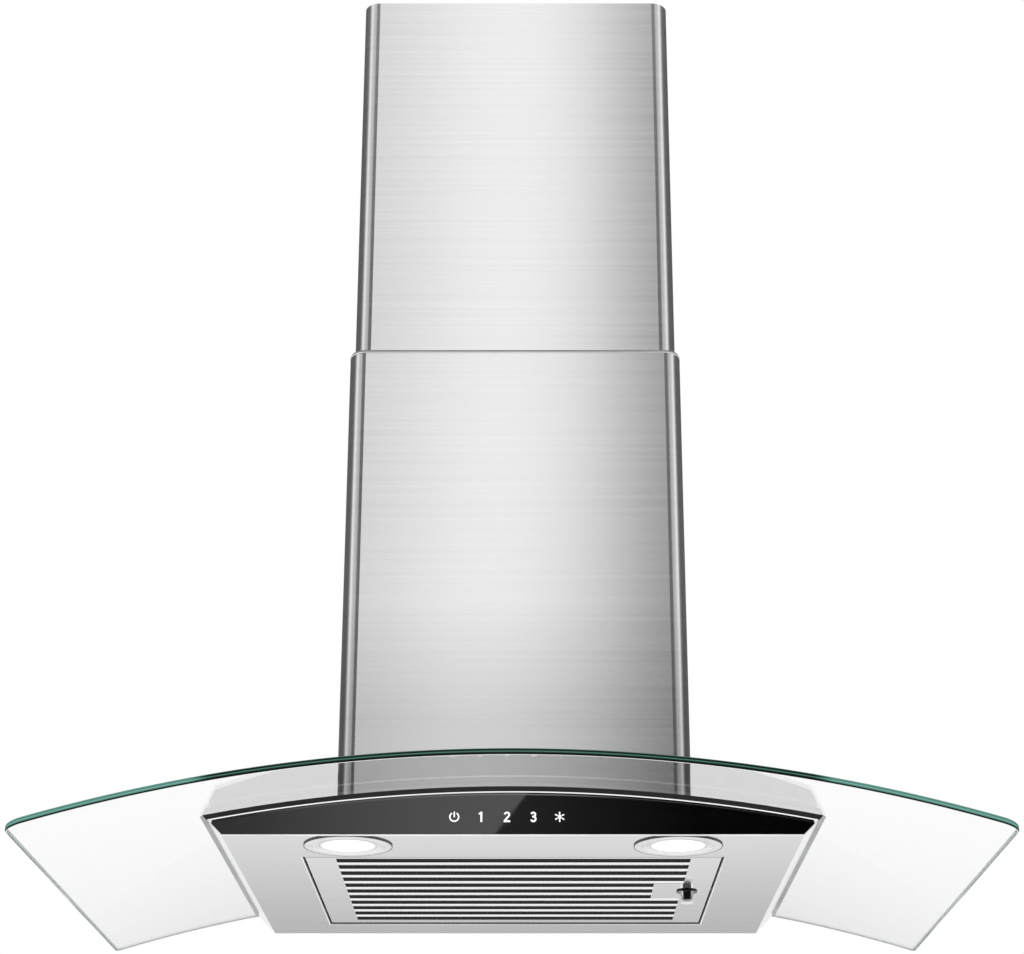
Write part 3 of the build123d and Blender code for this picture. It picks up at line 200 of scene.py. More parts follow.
# Corners of the small triangle of painted highlight at each end of the trim, across and above the underside
TRIM_TIP = [(237.6 * MM, 11.3 * MM), (233.9 * MM, 12.0 * MM), (234.7 * MM, 8.0 * MM)]
PANEL_TOP_R = 1269.6 * MM
# Length of the panel's ends, which slant at 45 degrees, up to the bevel
PANEL_END_SLANT = 12 * MM
BEVEL_DROP = 0.9 * MM
BEVEL_HIGH = 0.9 * MM
BEVEL_RISE = 0.1 * MM
# Pale line of painted highlight under the panel and up its slanted ends
EDGE_HIGHLIGHT_WIDE = 0.7 * MM
EDGE_HIGHLIGHT_PROUD = 0.15 * MM
EDGE_HIGHLIGHT_DEEP = 2 * MM
EDGE_HIGHLIGHT_UP = 8.2 * MM

# Lamps
LAMP_SPOTS = [(-130.6 * MM, -369.5 * MM), (130.6 * MM, -369.5 * MM)]
# Thin black ring round each lamp, whose black is painted shade in the gap round the bezel
LAMP_RING = (34.5 * MM, 35.2 * MM)
LAMP_RING_DROP = 1.06 * MM
LAMP_RING_STEPS = 64
LAMP_GLOW = (17 * MM, 22.5 * MM)

# Chimney: painted shade on its steel by height, darker towards its foot, and the top edge of the lower one
FOOT_PAINTED_SHADE = [(-0.20, 0.72), (-0.12, 0.76), (-0.09, 0.76), (0.02, 1.0), (0.05, 1.0)]
CHIMNEY_HALF = 150.0 * MM
CHIMNEY_FRONT = -275.0 * MM
CHIMNEY_REAR = -8 * MM
CHIMNEY_CORNER = 15.0 * MM
CHIMNEY_CORNER_STEPS = 12
LIP_ROUND = 0.9 * MM
LIP_PROUD = LIP_ROUND * 0.6
LIP_STEPS = 6
# Grey felt behind the lip, whose dark line is painted shade above it
FELT_IN = 1.2 * MM
FELT_DEEP = 2.2 * MM
FELT_HIGH = 2.4 * MM

# Screws: radius and height of the head, radius and length of the shank
SCREW_SIZES = {
    "glass_screws": (5.0 * MM, 2.5 * MM, 2.0 * MM, 10.0 * MM),
    "chimney_screws": (4.0 * MM, 2.0 * MM, 1.9 * MM, 5.0 * MM),
    "bracket_screws": (4.0 * MM, 2.0 * MM, 1.9 * MM, 5.0 * MM),
    "box_screws": (3.5 * MM, 2.0 * MM, 1.5 * MM, 6.0 * MM),
}

RIGHT = Vector((1, 0, 0))
FORWARD = Vector((0, -1, 0))
UP = Vector((0, 0, 1))
# Two places this close count as one
TOUCHING = 1e-6
# A face whose normal rises more than this counts as level
LEVEL = 0.995
# Range that most values of a noise lie in
NOISE_RANGE = (0.3, 0.7)


# Node helpers

def feed(tree, socket, value):
    """Link a socket, or set a plain value."""
    if isinstance(value, bpy.types.NodeSocket):
        tree.links.new(value, socket)
    else:
        socket.default_value = value


def add(tree, kind, inputs=None, **settings):
    """New node with its settings, and its inputs by name or number."""
    made = tree.nodes.new(kind)
    for key, value in settings.items():
        setattr(made, key, value)
    for key, value in (inputs or {}).items():
        feed(tree, made.inputs[key], value)
    return made


def maths(tree, operation, *values):
    return add(tree, "ShaderNodeMath", dict(enumerate(values)), operation=operation).outputs[0]


def scaled(tree, vector, stretch):
    """A vector times another, part by part."""
    return add(tree, "ShaderNodeVectorMath", {0: vector, 1: stretch}, operation="MULTIPLY").outputs[0]


def measured(tree, operation, *vectors):
    """Number from one vector or two."""
    return add(tree, "ShaderNodeVectorMath", dict(enumerate(vectors)), operation=operation).outputs["Value"]


def spread(tree, value, low, high, to_low, to_high, smooth=False):
    """A value moved from one range to another."""
    kind = "SMOOTHSTEP" if smooth else "LINEAR"
    sockets = {"Value": value, "From Min": low, "From Max": high, "To Min": to_low, "To Max": to_high}
    return add(tree, "ShaderNodeMapRange", sockets, interpolation_type=kind).outputs[0]


def blended(tree, factor, first, second):
    """Colour between two colours."""
    return add(tree, "ShaderNodeMix", {0: factor, 6: first, 7: second}, data_type="RGBA").outputs[2]


def between(tree, factor, first, second):
    """Number between two numbers."""
    return add(tree, "ShaderNodeMix", {0: factor, 2: first, 3: second}, data_type="FLOAT").outputs[0]


def parts_of(tree, vector):
    """A vector's three parts by their letters."""
    return add(tree, "ShaderNodeSeparateXYZ", {0: vector}).outputs


def combined(tree, parts):
    """Vector of parts by their numbers; those not given are 0."""
    return add(tree, "ShaderNodeCombineXYZ", parts).outputs[0]


def noise(tree, place, scale, detail, **more):
    sockets = {"Vector": place, "Scale": scale, "Detail": detail, **more}
    return add(tree, "ShaderNodeTexNoise", sockets).outputs["Fac"]


def grey(level):
    return (level, level, level, 1)


def banded(tree, value, bands):
    """Brightness along a list of bands; a ramp holds it at half, because its colours end at 1."""
    low, high = bands[0][0], bands[-1][0]
    ramp = add(tree, "ShaderNodeValToRGB", {0: spread(tree, value, float(low), float(high), 0.0, 1.0)})
    stops = ramp.color_ramp.elements
    while len(stops) > 1:
        stops.remove(stops[-1])
    stops[0].position = 0
    for i, (place, level) in enumerate(bands):
        stop = stops.new((place - low) / (high - low)) if i else stops[0]
        stop.color = grey(level / 2)
    return maths(tree, "MULTIPLY", ramp.outputs["Color"], 2.0)


# Shader groups that several finishes share

def new_group(name, own_input, outputs):
    """Empty shader group with a place, one input of its own and named numbers as outputs."""
    tree = bpy.data.node_groups.new(name, "ShaderNodeTree")
    for socket_name, kind, value in (("Vector", "NodeSocketVector", (0, 0, 0)), own_input):
        socket = tree.interface.new_socket(name=socket_name, in_out="INPUT", socket_type=kind)
        socket.default_value = value
    for socket_name in outputs:
        tree.interface.new_socket(name=socket_name, in_out="OUTPUT", socket_type="NodeSocketFloat")
    return tree, tree.nodes.new("NodeGroupInput").outputs, tree.nodes.new("NodeGroupOutput").inputs


def make_brushed_grain():
    """Fine parallel scratches, drawn out along one direction, over slow clouds."""
    own_input = ("Stretch", "NodeSocketVector", (1, 1, 1))
    tree, given, out = new_group("brushed grain", own_input, ("Tone", "Cloud", "Height"))
    drawn = scaled(tree, given["Vector"], given["Stretch"])
    fine = noise(tree, drawn, 1.0, 2.0, Roughness=0.55)
    coarse = noise(tree, drawn, 0.21, 1.0)
    feed(tree, out["Tone"], maths(tree, "MULTIPLY_ADD", coarse, 0.45, maths(tree, "MULTIPLY", fine, 0.55)))
    feed(tree, out["Cloud"], noise(tree, given["Vector"], 3.5, 2.0))
    feed(tree, out["Height"], fine)
    return tree


def make_zinc_spangle():
    """Flake pattern of galvanised sheet."""
    tree, given, out = new_group("zinc spangle", ("Flakes", "NodeSocketFloat", 120.0), ("Tone", "Height"))
    bend = add(tree, "ShaderNodeTexNoise", {"Vector": given["Vector"], "Scale": 60.0, "Detail": 2.0})
    shift = scaled(tree, bend.outputs["Color"], (0.01, 0.01, 0.01))
    place = add(tree, "ShaderNodeVectorMath", {0: given["Vector"], 1: shift}, operation="ADD").outputs[0]
    flakes = add(tree, "ShaderNodeTexVoronoi", {"Vector": place, "Scale": given["Flakes"]}).outputs
    feed(tree, out["Tone"], add(tree, "ShaderNodeSeparateColor", {0: flakes["Color"]}).outputs[0])
    feed(tree, out["Height"], flakes["Distance"])
    return tree


def make_moulded_skin():
    """Fine pebbled skin of moulded plastic, rubber and paint, with faint handling marks."""
    own_input = ("Grain", "NodeSocketFloat", 900.0)
    tree, given, out = new_group("moulded skin", own_input, ("Tone", "Marks", "Height"))
    feed(tree, out["Tone"], noise(tree, given["Vector"], 14.0, 3.0))
    feed(tree, out["Marks"], noise(tree, given["Vector"], 45.0, 4.0, Distortion=0.6))
    feed(tree, out["Height"], noise(tree, given["Vector"], given["Grain"], 2.0))
    return tree


brushed_grain = make_brushed_grain()
zinc_spangle = make_zinc_spangle()
moulded_skin = make_moulded_skin()


# Finishes

def new_finish(name, constants=None):
    """Material with its tree, the inputs of its surface shader and the piece's own coordinates."""
    material = bpy.data.materials.new(name)
    material.use_nodes = True
    tree = material.node_tree
    tree.nodes.clear()
    shader = add(tree, "ShaderNodeBsdfPrincipled", constants)
    add(tree, "ShaderNodeOutputMaterial", {"Surface": shader.outputs[0]})
    return material, tree, shader.inputs, add(tree, "ShaderNodeTexCoord").outputs["Object"]


def placed_group(tree, group, place, **inputs):
    return add(tree, "ShaderNodeGroup", {"Vector": place, **inputs}, node_tree=group).outputs


def toned(tree, value, dark, light):
    """Colour between two colours, by a noise."""
    return blended(tree, spread(tree, value, *NOISE_RANGE, 0, 1), dark, light)


def roughened(tree, surface, value, low, high, limits=NOISE_RANGE):
    feed(tree, surface["Roughness"], spread(tree, value, *limits, low, high))


def bumped(tree, surface, height, strength, depth):
    """Relief of a given depth in metres."""
    sockets = {"Height": height, "Strength": strength, "Distance": depth}
    feed(tree, surface["Normal"], add(tree, "ShaderNodeBump", sockets).outputs[0])


def make_brushed(name, stretch, level, tangent_axis, turn, rough, pull, shade=None):
    """Brushed stainless steel; the scratches run across the direction that is stretched most, and a shade
    list, where given, paints shade into the colour by height.
    """
    constants = {"Metallic": 1, "Anisotropic": pull, "Anisotropic Rotation": turn}
    material, tree, surface, place = new_finish(name, constants)
    grain = placed_group(tree, brushed_grain, place, Stretch=stretch)
    tone = toned(tree, grain["Tone"], grey(level * 0.965), grey(level * 1.035))
    # Painted shade: the colour scaled by levels listed by height
    if shade:
        tone = scaled(tree, tone, banded(tree, parts_of(tree, place)["Z"], shade))
    feed(tree, surface["Base Color"], tone)
    rough_tone = maths(tree, "MULTIPLY_ADD", grain["Cloud"], 0.3, maths(tree, "MULTIPLY", grain["Tone"], 0.7))
    roughened(tree, surface, rough_tone, *rough)
    tangent = add(tree, "ShaderNodeTangent", direction_type="RADIAL", axis=tangent_axis)
    feed(tree, surface["Tangent"], tangent.outputs[0])
    bumped(tree, surface, grain["Height"], 0.06, 0.03 * MM)
    return material


def make_zinc():
    material, tree, surface, place = new_finish("galvanised sheet", {"Metallic": 1})
    flakes = placed_group(tree, zinc_spangle, place, Flakes=110.0)
    tone = blended(tree, flakes["Tone"], (0.46, 0.48, 0.50, 1), (0.66, 0.68, 0.69, 1))
    feed(tree, surface["Base Color"], tone)
    roughened(tree, surface, flakes["Tone"], 0.34, 0.5, (0, 1))
    bumped(tree, surface, flakes["Height"], 0.1, 0.1 * MM)
    return material


def make_bare_metal(name, level, rough, tint=(1, 1, 1), scratches=(400, 400, 400)):
    """Plain metal with fine marks all over."""
    material, tree, surface, place = new_finish(name, {"Metallic": 1})
    grain = placed_group(tree, brushed_grain, place, Stretch=scratches)
    dark = tuple(level * 0.92 * part for part in tint) + (1,)
    light = tuple(level * 1.06 * part for part in tint) + (1,)
    feed(tree, surface["Base Color"], toned(tree, grain["Tone"], dark, light))
    roughened(tree, surface, grain["Cloud"], rough * 0.85, rough * 1.2)
    bumped(tree, surface, grain["Height"], 0.05, 0.03 * MM)
    return material


def make_moulded(name, colour, rough, grain=900.0, depth=0.04):
    """Moulded plastic, rubber or paint with a pebbled skin."""
    material, tree, surface, place = new_finish(name)
    skin = placed_group(tree, moulded_skin, place, Grain=grain)
    dark = tuple(part * 0.82 for part in colour) + (1,)
    light = tuple(min(1, part * 1.14) for part in colour) + (1,)
    feed(tree, surface["Base Color"], toned(tree, skin["Tone"], dark, light))
    roughened(tree, surface, skin["Marks"], rough * 0.88, rough * 1.12)
    bumped(tree, surface, skin["Height"], 0.35, depth * MM)
    return material


def unseen_in_mirrors(tree):
    """Panel and chimney don't show the pane in their reflections; the pane's own inner reflections stay."""
    end = tree.get_output_node("ALL").inputs["Surface"]
    rays = add(tree, "ShaderNodeLightPath").outputs
    outside = maths(tree, "LESS_THAN", rays["Transmission Depth"], 0.5)
    passing = maths(tree, "MULTIPLY", rays["Is Glossy Ray"], outside)
    open_way = add(tree, "ShaderNodeBsdfTransparent").outputs[0]
    mixed = add(tree, "ShaderNodeMixShader", {0: passing, 1: end.links[0].from_socket, 2: open_way})
    feed(tree, end, mixed.outputs[0])


def make_clear_glass():
    """Float glass seen through its thickness, with painted shade that makes it a little darker towards the
    wall.
    """
    material, tree, surface, place = new_finish("clear glass", {"Transmission Weight": 1, "IOR": 1.25})
    skin = placed_group(tree, moulded_skin, place, Grain=300.0)
    roughened(tree, surface, skin["Marks"], 0.0, 0.006, (0.35, 0.75))
    clear = blended(tree, skin["Tone"], (0.99, 1.0, 0.995, 1), grey(1.0))
    # Painted shade, darker towards the wall
    tint = spread(tree, parts_of(tree, place)["Y"], *GLASS_SHADE_DEPTHS, 1.0, GLASS_SHADE_LEVEL)
    feed(tree, surface["Base Color"], scaled(tree, clear, tint))
    unseen_in_mirrors(tree)
    return material


def make_glass_edge():
    """Polished edge of the glass, with painted light and shade: deep green before the body, teal beside it,
    pale along sides and back, crossed by painted highlight and shade lines and a painted white highlight
    along the bottom of the front edge.
    """
    material, tree, surface, place = new_finish("glass edge", {"IOR": 1.5, "Specular IOR Level": 0.1})
    skin = placed_group(tree, moulded_skin, place, Grain=300.0)
    sides = parts_of(tree, place)
    outer = spread(tree, maths(tree, "ABSOLUTE", sides["X"]), *EDGE_BESIDE, 0.0, 1.0, smooth=True)
    upright = scaled(tree, place, (1, 0, 1))
    spoke = measured(tree, "DISTANCE", upright, (0, 0, ARCH_CENTRE))
    level = spread(tree, spoke, ARCH_TOP_R - GLASS_THICK, ARCH_TOP_R, 0.0, 1.0)
    # Painted highlight and shade lines through the edge's thickness
    lines = between(tree, outer, banded(tree, level, EDGE_LINES), banded(tree, level, EDGE_LINES_BESIDE))
    # Painted light: deep green before the body, teal beside it, pale along sides and back
    deep = blended(tree, skin["Tone"], (0.043, 0.118, 0.092, 1), (0.053, 0.136, 0.108, 1))
    teal = blended(tree, skin["Tone"], (0.155, 0.380, 0.315, 1), (0.185, 0.424, 0.359, 1))
    pale = blended(tree, skin["Tone"], (0.740, 0.830, 0.800, 1), (0.800, 0.880, 0.850, 1))
    pale = scaled(tree, pale, banded(tree, level, EDGE_LINES_SIDE))
    back = spread(tree, sides["Y"], *EDGE_FRONT_END, 0.0, 1.0, smooth=True)
    front = scaled(tree, blended(tree, outer, deep, teal), lines)
    # Painted white highlight along the bottom of the front edge
    front = blended(tree, spread(tree, level, *EDGE_ARRIS_HIGHLIGHT, 1.0, 0.0), front, grey(0.95))
    feed(tree, surface["Base Color"], blended(tree, back, front, pale))
    roughened(tree, surface, skin["Marks"], 0.05, 0.09)
    unseen_in_mirrors(tree)
    return material


def make_black_glass(name, index):
    material, tree, surface, place = new_finish(name, {"IOR": index})
    skin = placed_group(tree, moulded_skin, place, Grain=600.0)
    tone = blended(tree, skin["Tone"], (0.0016, 0.0016, 0.0018, 1), (0.0026, 0.0026, 0.0028, 1))
    feed(tree, surface["Base Color"], tone)
    roughened(tree, surface, skin["Marks"], 0.012, 0.03, (0.4, 0.8))
    return material


def make_knob_chrome():
    """Chrome with a painted dark reflection on its front between bright sides, and painted shade on its
    collar.
    """
    material, tree, surface, place = new_finish("knob chrome", {"Metallic": 1})
    grain = placed_group(tree, brushed_grain, place, Stretch=(400, 400, 400))
    low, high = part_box("latch_knob")
    middle = (low + high) / 2
    sides = parts_of(tree, place)
    across = maths(tree, "ABSOLUTE", maths(tree, "SUBTRACT", sides["X"], middle.x))
    front = spread(tree, sides["Y"], middle.y - KNOB_FRONT_FADE, middle.y, 1.0, 0.0)
    grip = spread(tree, sides["Z"], *[low.z + foot for foot in KNOB_GRIP_FOOT], 0.0, 1.0)
    # Painted dark reflection down the front of the grip, and painted shade on the collar
    inner = maths(tree, "MULTIPLY", spread(tree, across, *KNOB_PAINTED_DARK_HALF, 1.0, 0.0, smooth=True), front)
    collar = spread(tree, sides["Z"], *[UNDERSIDE - drop for drop in KNOB_COLLAR_DROP], 0.0, 1.0)
    dark = maths(tree, "MAXIMUM", collar, maths(tree, "MULTIPLY", inner, grip))
    bright = toned(tree, grain["Tone"], grey(0.88), grey(0.95))
    feed(tree, surface["Base Color"], blended(tree, dark, bright, grey(0.06)))
    polish = spread(tree, grain["Cloud"], *NOISE_RANGE, 0.05, 0.07)
    feed(tree, surface["Roughness"], between(tree, grip, 0.5, polish))
    return material


def make_lamp_lens():
    """Frosted lens over a lit lamp, brightest in the middle."""
    material, tree, surface, place = new_finish("lit lens", {"Emission Strength": 0.9})
    skin = placed_group(tree, moulded_skin, place, Grain=700.0)
    sides = parts_of(tree, place)
    lamp_x, lamp_y = LAMP_SPOTS[1]
    across = maths(tree, "SUBTRACT", maths(tree, "ABSOLUTE", sides["X"]), lamp_x)
    along = maths(tree, "SUBTRACT", sides["Y"], lamp_y)
    flat = combined(tree, {0: across, 1: along})
    away = measured(tree, "LENGTH", flat)
    glow = spread(tree, away, *LAMP_GLOW, 1.0, 0.0, smooth=True)
    frost = blended(tree, skin["Tone"], grey(0.86), grey(0.92))
    feed(tree, surface["Base Color"], blended(tree, glow, grey(0.62), frost))
    feed(tree, surface["Emission Color"], blended(tree, glow, grey(0.12), (1.0, 1.0, 0.99, 1)))
    roughened(tree, surface, skin["Marks"], 0.35, 0.45)
    bumped(tree, surface, skin["Height"], 0.2, 0.03 * MM)
    return material


def make_board():
    """Printed board with copper lines under green varnish."""
    material, tree, surface, place = new_finish("printed board")
    skin = placed_group(tree, moulded_skin, place, Grain=1200.0)
    lines = add(tree, "ShaderNodeTexBrick", {
        "Vector": place, "Scale": 90.0, "Mortar Size": 0.07, "Mortar Smooth": 0.2,
        "Color1": grey(0), "Color2": grey(0), "Mortar": grey(1),
    }).outputs
    varnish = blended(tree, skin["Tone"], (0.010, 0.090, 0.035, 1), (0.016, 0.130, 0.050, 1))
    feed(tree, surface["Base Color"], blended(tree, lines["Color"], varnish, (0.06, 0.24, 0.10, 1)))
    roughened(tree, surface, skin["Marks"], 0.25, 0.4)
    bumped(tree, surface, lines["Fac"], 0.3, 0.05 * MM)
    return material


def make_print():
    """White lit print on the panel."""
    material, tree, surface, place = new_finish("symbol print", {"Emission Strength": 0.35})
    skin = placed_group(tree, moulded_skin, place, Grain=1500.0)
    colour = blended(tree, skin["Tone"], grey(0.93), grey(1.0))
    feed(tree, surface["Base Color"], colour)
    feed(tree, surface["Emission Color"], colour)
    roughened(tree, surface, skin["Marks"], 0.35, 0.5)
    return material


chimney_steel = make_brushed("chimney steel", (9, 9, 1500), 0.80, "Z", 0.25, (0.15, 0.19), 0.95, FOOT_PAINTED_SHADE)
filter_steel = make_brushed("filter steel", (9, 1500, 9), 0.96, "X", 0.0, (0.08, 0.11), 0.6)
body_steel = make_brushed("body steel", (9, 1500, 9), 0.85, "X", 0.0, (0.08, 0.11), 0.6)
strip_steel = make_brushed("filter strip steel", (9, 1500, 9), 0.96, "X", 0.0, (0.12, 0.16), 0.5)
screw_steel = make_bare_metal("screw steel", 0.62, 0.28)
symbol_print = make_print()
glass_edge = make_glass_edge()
mesh_dark = make_bare_metal("filter mesh in shade", 0.03, 0.5, scratches=(900, 900, 900))
slot_shade_grey = make_moulded("slot painted shade", (0.03, 0.03, 0.031), 0.5)
ring_grey = make_moulded("lamp ring", (0.07, 0.07, 0.072), 0.5)
pale_highlight = make_moulded("pale highlight paint", (0.92, 0.92, 0.91), 0.4)
grey_felt = make_moulded("grey felt", (0.20, 0.20, 0.20), 0.8, 500.0, 0.2)
lip_steel = make_bare_metal("polished lip", 0.92, 0.1)
bezel_metal = make_bare_metal("lamp bezel", 0.94, 0.34)
bevel_glass = make_black_glass("panel bevel", 2.2)

finishes = {
    "clear_glass": make_clear_glass(),
    "brushed_steel": body_steel,
    "zinc_sheet": make_zinc(),
    "black_glass": make_black_glass("black panel glass", 1.6),
    "black_seal": make_moulded("black seal", (0.007, 0.007, 0.008), 0.42, 1100.0),
    "grey_seal": make_moulded("grey seal", (0.42, 0.43, 0.43), 0.55, 1100.0),
    "bright_trim": make_bare_metal("bright trim", 0.80, 0.12, scratches=(60, 900, 900)),
    "fasteners": screw_steel,
    "board": make_board(),
    "contacts": make_bare_metal("contact brass", 0.74, 0.25, (1.0, 0.78, 0.42)),
    "light_plastic": make_moulded("light plastic", (0.72, 0.73, 0.72), 0.45),
    "black_plastic": make_moulded("black plastic", (0.022, 0.022, 0.024), 0.48, 700.0, 0.06),
    "grey_plastic": make_moulded("grey plastic", (0.26, 0.27, 0.28), 0.45),
    "aluminium": make_bare_metal("plain aluminium", 0.72, 0.34, (0.99, 1.0, 1.01)),
    "motor_paint": make_moulded("motor paint", (0.045, 0.047, 0.052), 0.4, 400.0, 0.08),
    "shaft_steel": make_bare_metal("shaft steel", 0.64, 0.22, scratches=(1600, 60, 60)),
    "knob_chrome": make_knob_chrome(),
    "lamp_lens": make_lamp_lens(),
}
own_finish = {
    "lower_chimney": chimney_steel, "upper_chimney": chimney_steel, "filter_mesh": mesh_dark,
    "filter_hooks": mesh_dark, "latch_bolt": mesh_dark, "filter_face": filter_steel,
    "lamp_bezel_left": bezel_metal, "lamp_bezel_right": bezel_metal,
}


def dress_nodes():
    """Each solid takes the finish of its slot in the record."""
    slots = {}
    for part in frame["record"]["subparts"]:
        slots[part["node"]] = part["material_slot"]
    for name, solid in frame["nodes"].items():
        material = own_finish.get(name, finishes[slots[name]])
        if not solid.material_slots:
            solid.data.materials.append(material)
        for slot in solid.material_slots:
            slot.material = material


# Pieces

def new_object(name, data):
    made = bpy.data.objects.new(name, data)
    bpy.context.scene.collection.objects.link(made)
    return made


def new_piece(name, mesh, material, body):
    piece = new_object(name, mesh)
    mesh.materials.clear()
    mesh.materials.append(material)
    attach(piece, body)
    return piece


def smoothed(mesh, degrees):
    """Smooth shading, with edges that are sharp from an angle on."""
    mesh.shade_smooth()
    mesh.set_sharp_from_angle(angle=math.radians(degrees))


def new_tree(name, numbers=()):
    """Empty geometry tree with named numbers and a finish as inputs."""
    tree = bpy.data.node_groups.new(name, "GeometryNodeTree")
    kinds = {"Geometry": "NodeSocketGeometry", "Finish": "NodeSocketMaterial"}
    for socket_name in ("Geometry", *numbers, "Finish"):
        kind = kinds.get(socket_name, "NodeSocketFloat")
        tree.interface.new_socket(name=socket_name, in_out="INPUT", socket_type=kind)
    tree.interface.new_socket(name="Geometry", in_out="OUTPUT", socket_type="NodeSocketGeometry")
    return tree, tree.nodes.new("NodeGroupInput").outputs, tree.nodes.new("NodeGroupOutput").inputs


def attribute(tree, name, kind):
    """What the points carry under a name."""
    return add(tree, "GeometryNodeInputNamedAttribute", {"Name": name}, data_type=kind).outputs[0]


def end_tree(tree, given, out, instance, **placing):
    """One copy on each point, made real and given the finish."""
    placed = add(tree, "GeometryNodeInstanceOnPoints", {
        "Points": given["Geometry"], "Instance": instance, **placing,
    })
    real = add(tree, "GeometryNodeRealizeInstances", {0: placed.outputs[0]})
    painted = add(tree, "GeometryNodeSetMaterial", {"Geometry": real.outputs[0], "Material": given["Finish"]})
    tree.links.new(painted.outputs[0], out[0])
    return tree


def grown_mesh(name, tree, points, attributes, values):
    """Mesh that a tree makes on loose points that carry attributes."""
    seeds = bpy.data.meshes.new(name + "_points")
    seeds.from_pydata(points, [], [])
    for key, (kind, rows) in attributes.items():
        layer = seeds.attributes.new(key, kind, "POINT")
        for item, row in zip(layer.data, rows):
            if kind == "FLOAT_VECTOR":
                item.vector = row
            else:
                item.value = row
    holder = new_object(name + "_points", seeds)
    modifier = holder.modifiers.new("grow", "NODES")
    modifier.node_group = tree
    for item in tree.interface.items_tree:
        if item.in_out == "INPUT" and item.name in values:
            modifier[item.identifier] = values[item.name]
    bpy.context.view_layer.update()
    evaluated = holder.evaluated_get(bpy.context.evaluated_depsgraph_get())
    mesh = bpy.data.meshes.new_from_object(evaluated)
    bpy.data.objects.remove(holder)
    return mesh


def make_screw_tree():
    """Pan-head screws with a cross recess, on points that face along an attribute."""
    tree, given, out = new_tree("screws", (
        "Head Radius", "Head Height", "Dome", "Recess Width", "Recess Depth", "Shank Radius", "Shank Length",
    ))
    head = add(tree, "GeometryNodeMeshCylinder", {
        "Vertices": 32, "Side Segments": 2, "Fill Segments": 5,
        "Radius": given["Head Radius"], "Depth": given["Head Height"],
    })
    parts = parts_of(tree, add(tree, "GeometryNodeInputPosition").outputs[0])
    flat = combined(tree, {0: parts["X"], 1: parts["Y"]})
    away = measured(tree, "LENGTH", flat)
    share = maths(tree, "POWER", maths(tree, "DIVIDE", away, given["Head Radius"]), 3.0)
    above = maths(tree, "GREATER_THAN", parts["Z"], 0.0)
    fall = maths(tree, "MULTIPLY", maths(tree, "MULTIPLY", share, given["Dome"]), above)
    half = maths(tree, "MULTIPLY", given["Head Height"], 0.5)
    lift = combined(tree, {2: maths(tree, "SUBTRACT", half, fall)})
    domed = add(tree, "GeometryNodeSetPosition", {"Geometry": head.outputs["Mesh"], "Offset": lift})
    cut = add(tree, "GeometryNodeMeshBoolean", {0: domed.outputs[0]}, operation="DIFFERENCE", solver="EXACT")
    long = maths(tree, "MULTIPLY", given["Head Radius"], 1.1)
    deep = maths(tree, "MULTIPLY", given["Recess Depth"], 2.0)
    top = combined(tree, {2: given["Head Height"]})
    for turn in (0, 1):
        size = combined(tree, {turn: long, 1 - turn: given["Recess Width"], 2: deep})
        bar = add(tree, "GeometryNodeMeshCube", {"Size": size})
        moved = add(tree, "GeometryNodeTransform", {"Geometry": bar.outputs["Mesh"], "Translation": top})
        tree.links.new(moved.outputs[0], cut.inputs["Mesh 2"])
    shank = add(tree, "GeometryNodeMeshCylinder", {
        "Vertices": 16, "Radius": given["Shank Radius"], "Depth": given["Shank Length"],
    })
    down = combined(tree, {2: maths(tree, "MULTIPLY", given["Shank Length"], -0.5)})
    under = add(tree, "GeometryNodeTransform", {"Geometry": shank.outputs["Mesh"], "Translation": down})
    whole = add(tree, "GeometryNodeJoinGeometry")
    tree.links.new(cut.outputs["Mesh"], whole.inputs[0])
    tree.links.new(under.outputs[0], whole.inputs[0])
    facing = attribute(tree, "facing", "FLOAT_VECTOR")
    aimed = add(tree, "FunctionNodeAlignRotationToVector", {"Vector": facing}, axis="Z")
    spin = add(tree, "FunctionNodeRandomValue", {2: 0.0, 3: math.pi, "Seed": 7}, data_type="FLOAT")
    turned = add(tree, "FunctionNodeAxisAngleToRotation", {"Axis": (0, 0, 1), "Angle": spin.outputs[1]})
    turns = {0: aimed.outputs[0], 1: turned.outputs[0]}
    both = add(tree, "FunctionNodeRotateRotation", turns, rotation_space="LOCAL")
    return end_tree(tree, given, out, whole.outputs[0], Rotation=both.outputs[0])


def make_strip_tree():
    """Crowned strips along X, one on each point, as long as an attribute says."""
    tree, given, out = new_tree("filter strips", ("Width", "Bulge"))
    path = add(tree, "GeometryNodeCurvePrimitiveLine", {"Start": (-0.5, 0, 0), "End": (0.5, 0, 0)})
    upright = add(tree, "GeometryNodeSetCurveNormal", {0: path.outputs[0]}, mode="Z_UP")
    half = maths(tree, "MULTIPLY", given["Width"], 0.5)
    arc = add(tree, "GeometryNodeCurveArc", {
        "Resolution": 9, "Start": combined(tree, {0: maths(tree, "MULTIPLY", half, -1.0)}),
        "Middle": combined(tree, {1: given["Bulge"]}), "End": combined(tree, {0: half}),
    }, mode="POINTS")
    closed = add(tree, "GeometryNodeSetSplineCyclic", {0: arc.outputs[0], "Cyclic": True})
    strip = add(tree, "GeometryNodeCurveToMesh", {
        "Curve": upright.outputs[0], "Profile Curve": closed.outputs[0], "Fill Caps": True,
    })
    length = attribute(tree, "length", "FLOAT")
    scale = combined(tree, {0: length, 1: 1.0, 2: 1.0})
    return end_tree(tree, given, out, strip.outputs[0], Scale=scale)


def make_block_tree():
    """Plain blocks, one on each point, as large as an attribute says."""
    tree, given, out = new_tree("blocks")
    block = add(tree, "GeometryNodeMeshCube", {"Size": (1, 1, 1)})
    size = attribute(tree, "size", "FLOAT_VECTOR")
    return end_tree(tree, given, out, block.outputs["Mesh"], Scale=size)


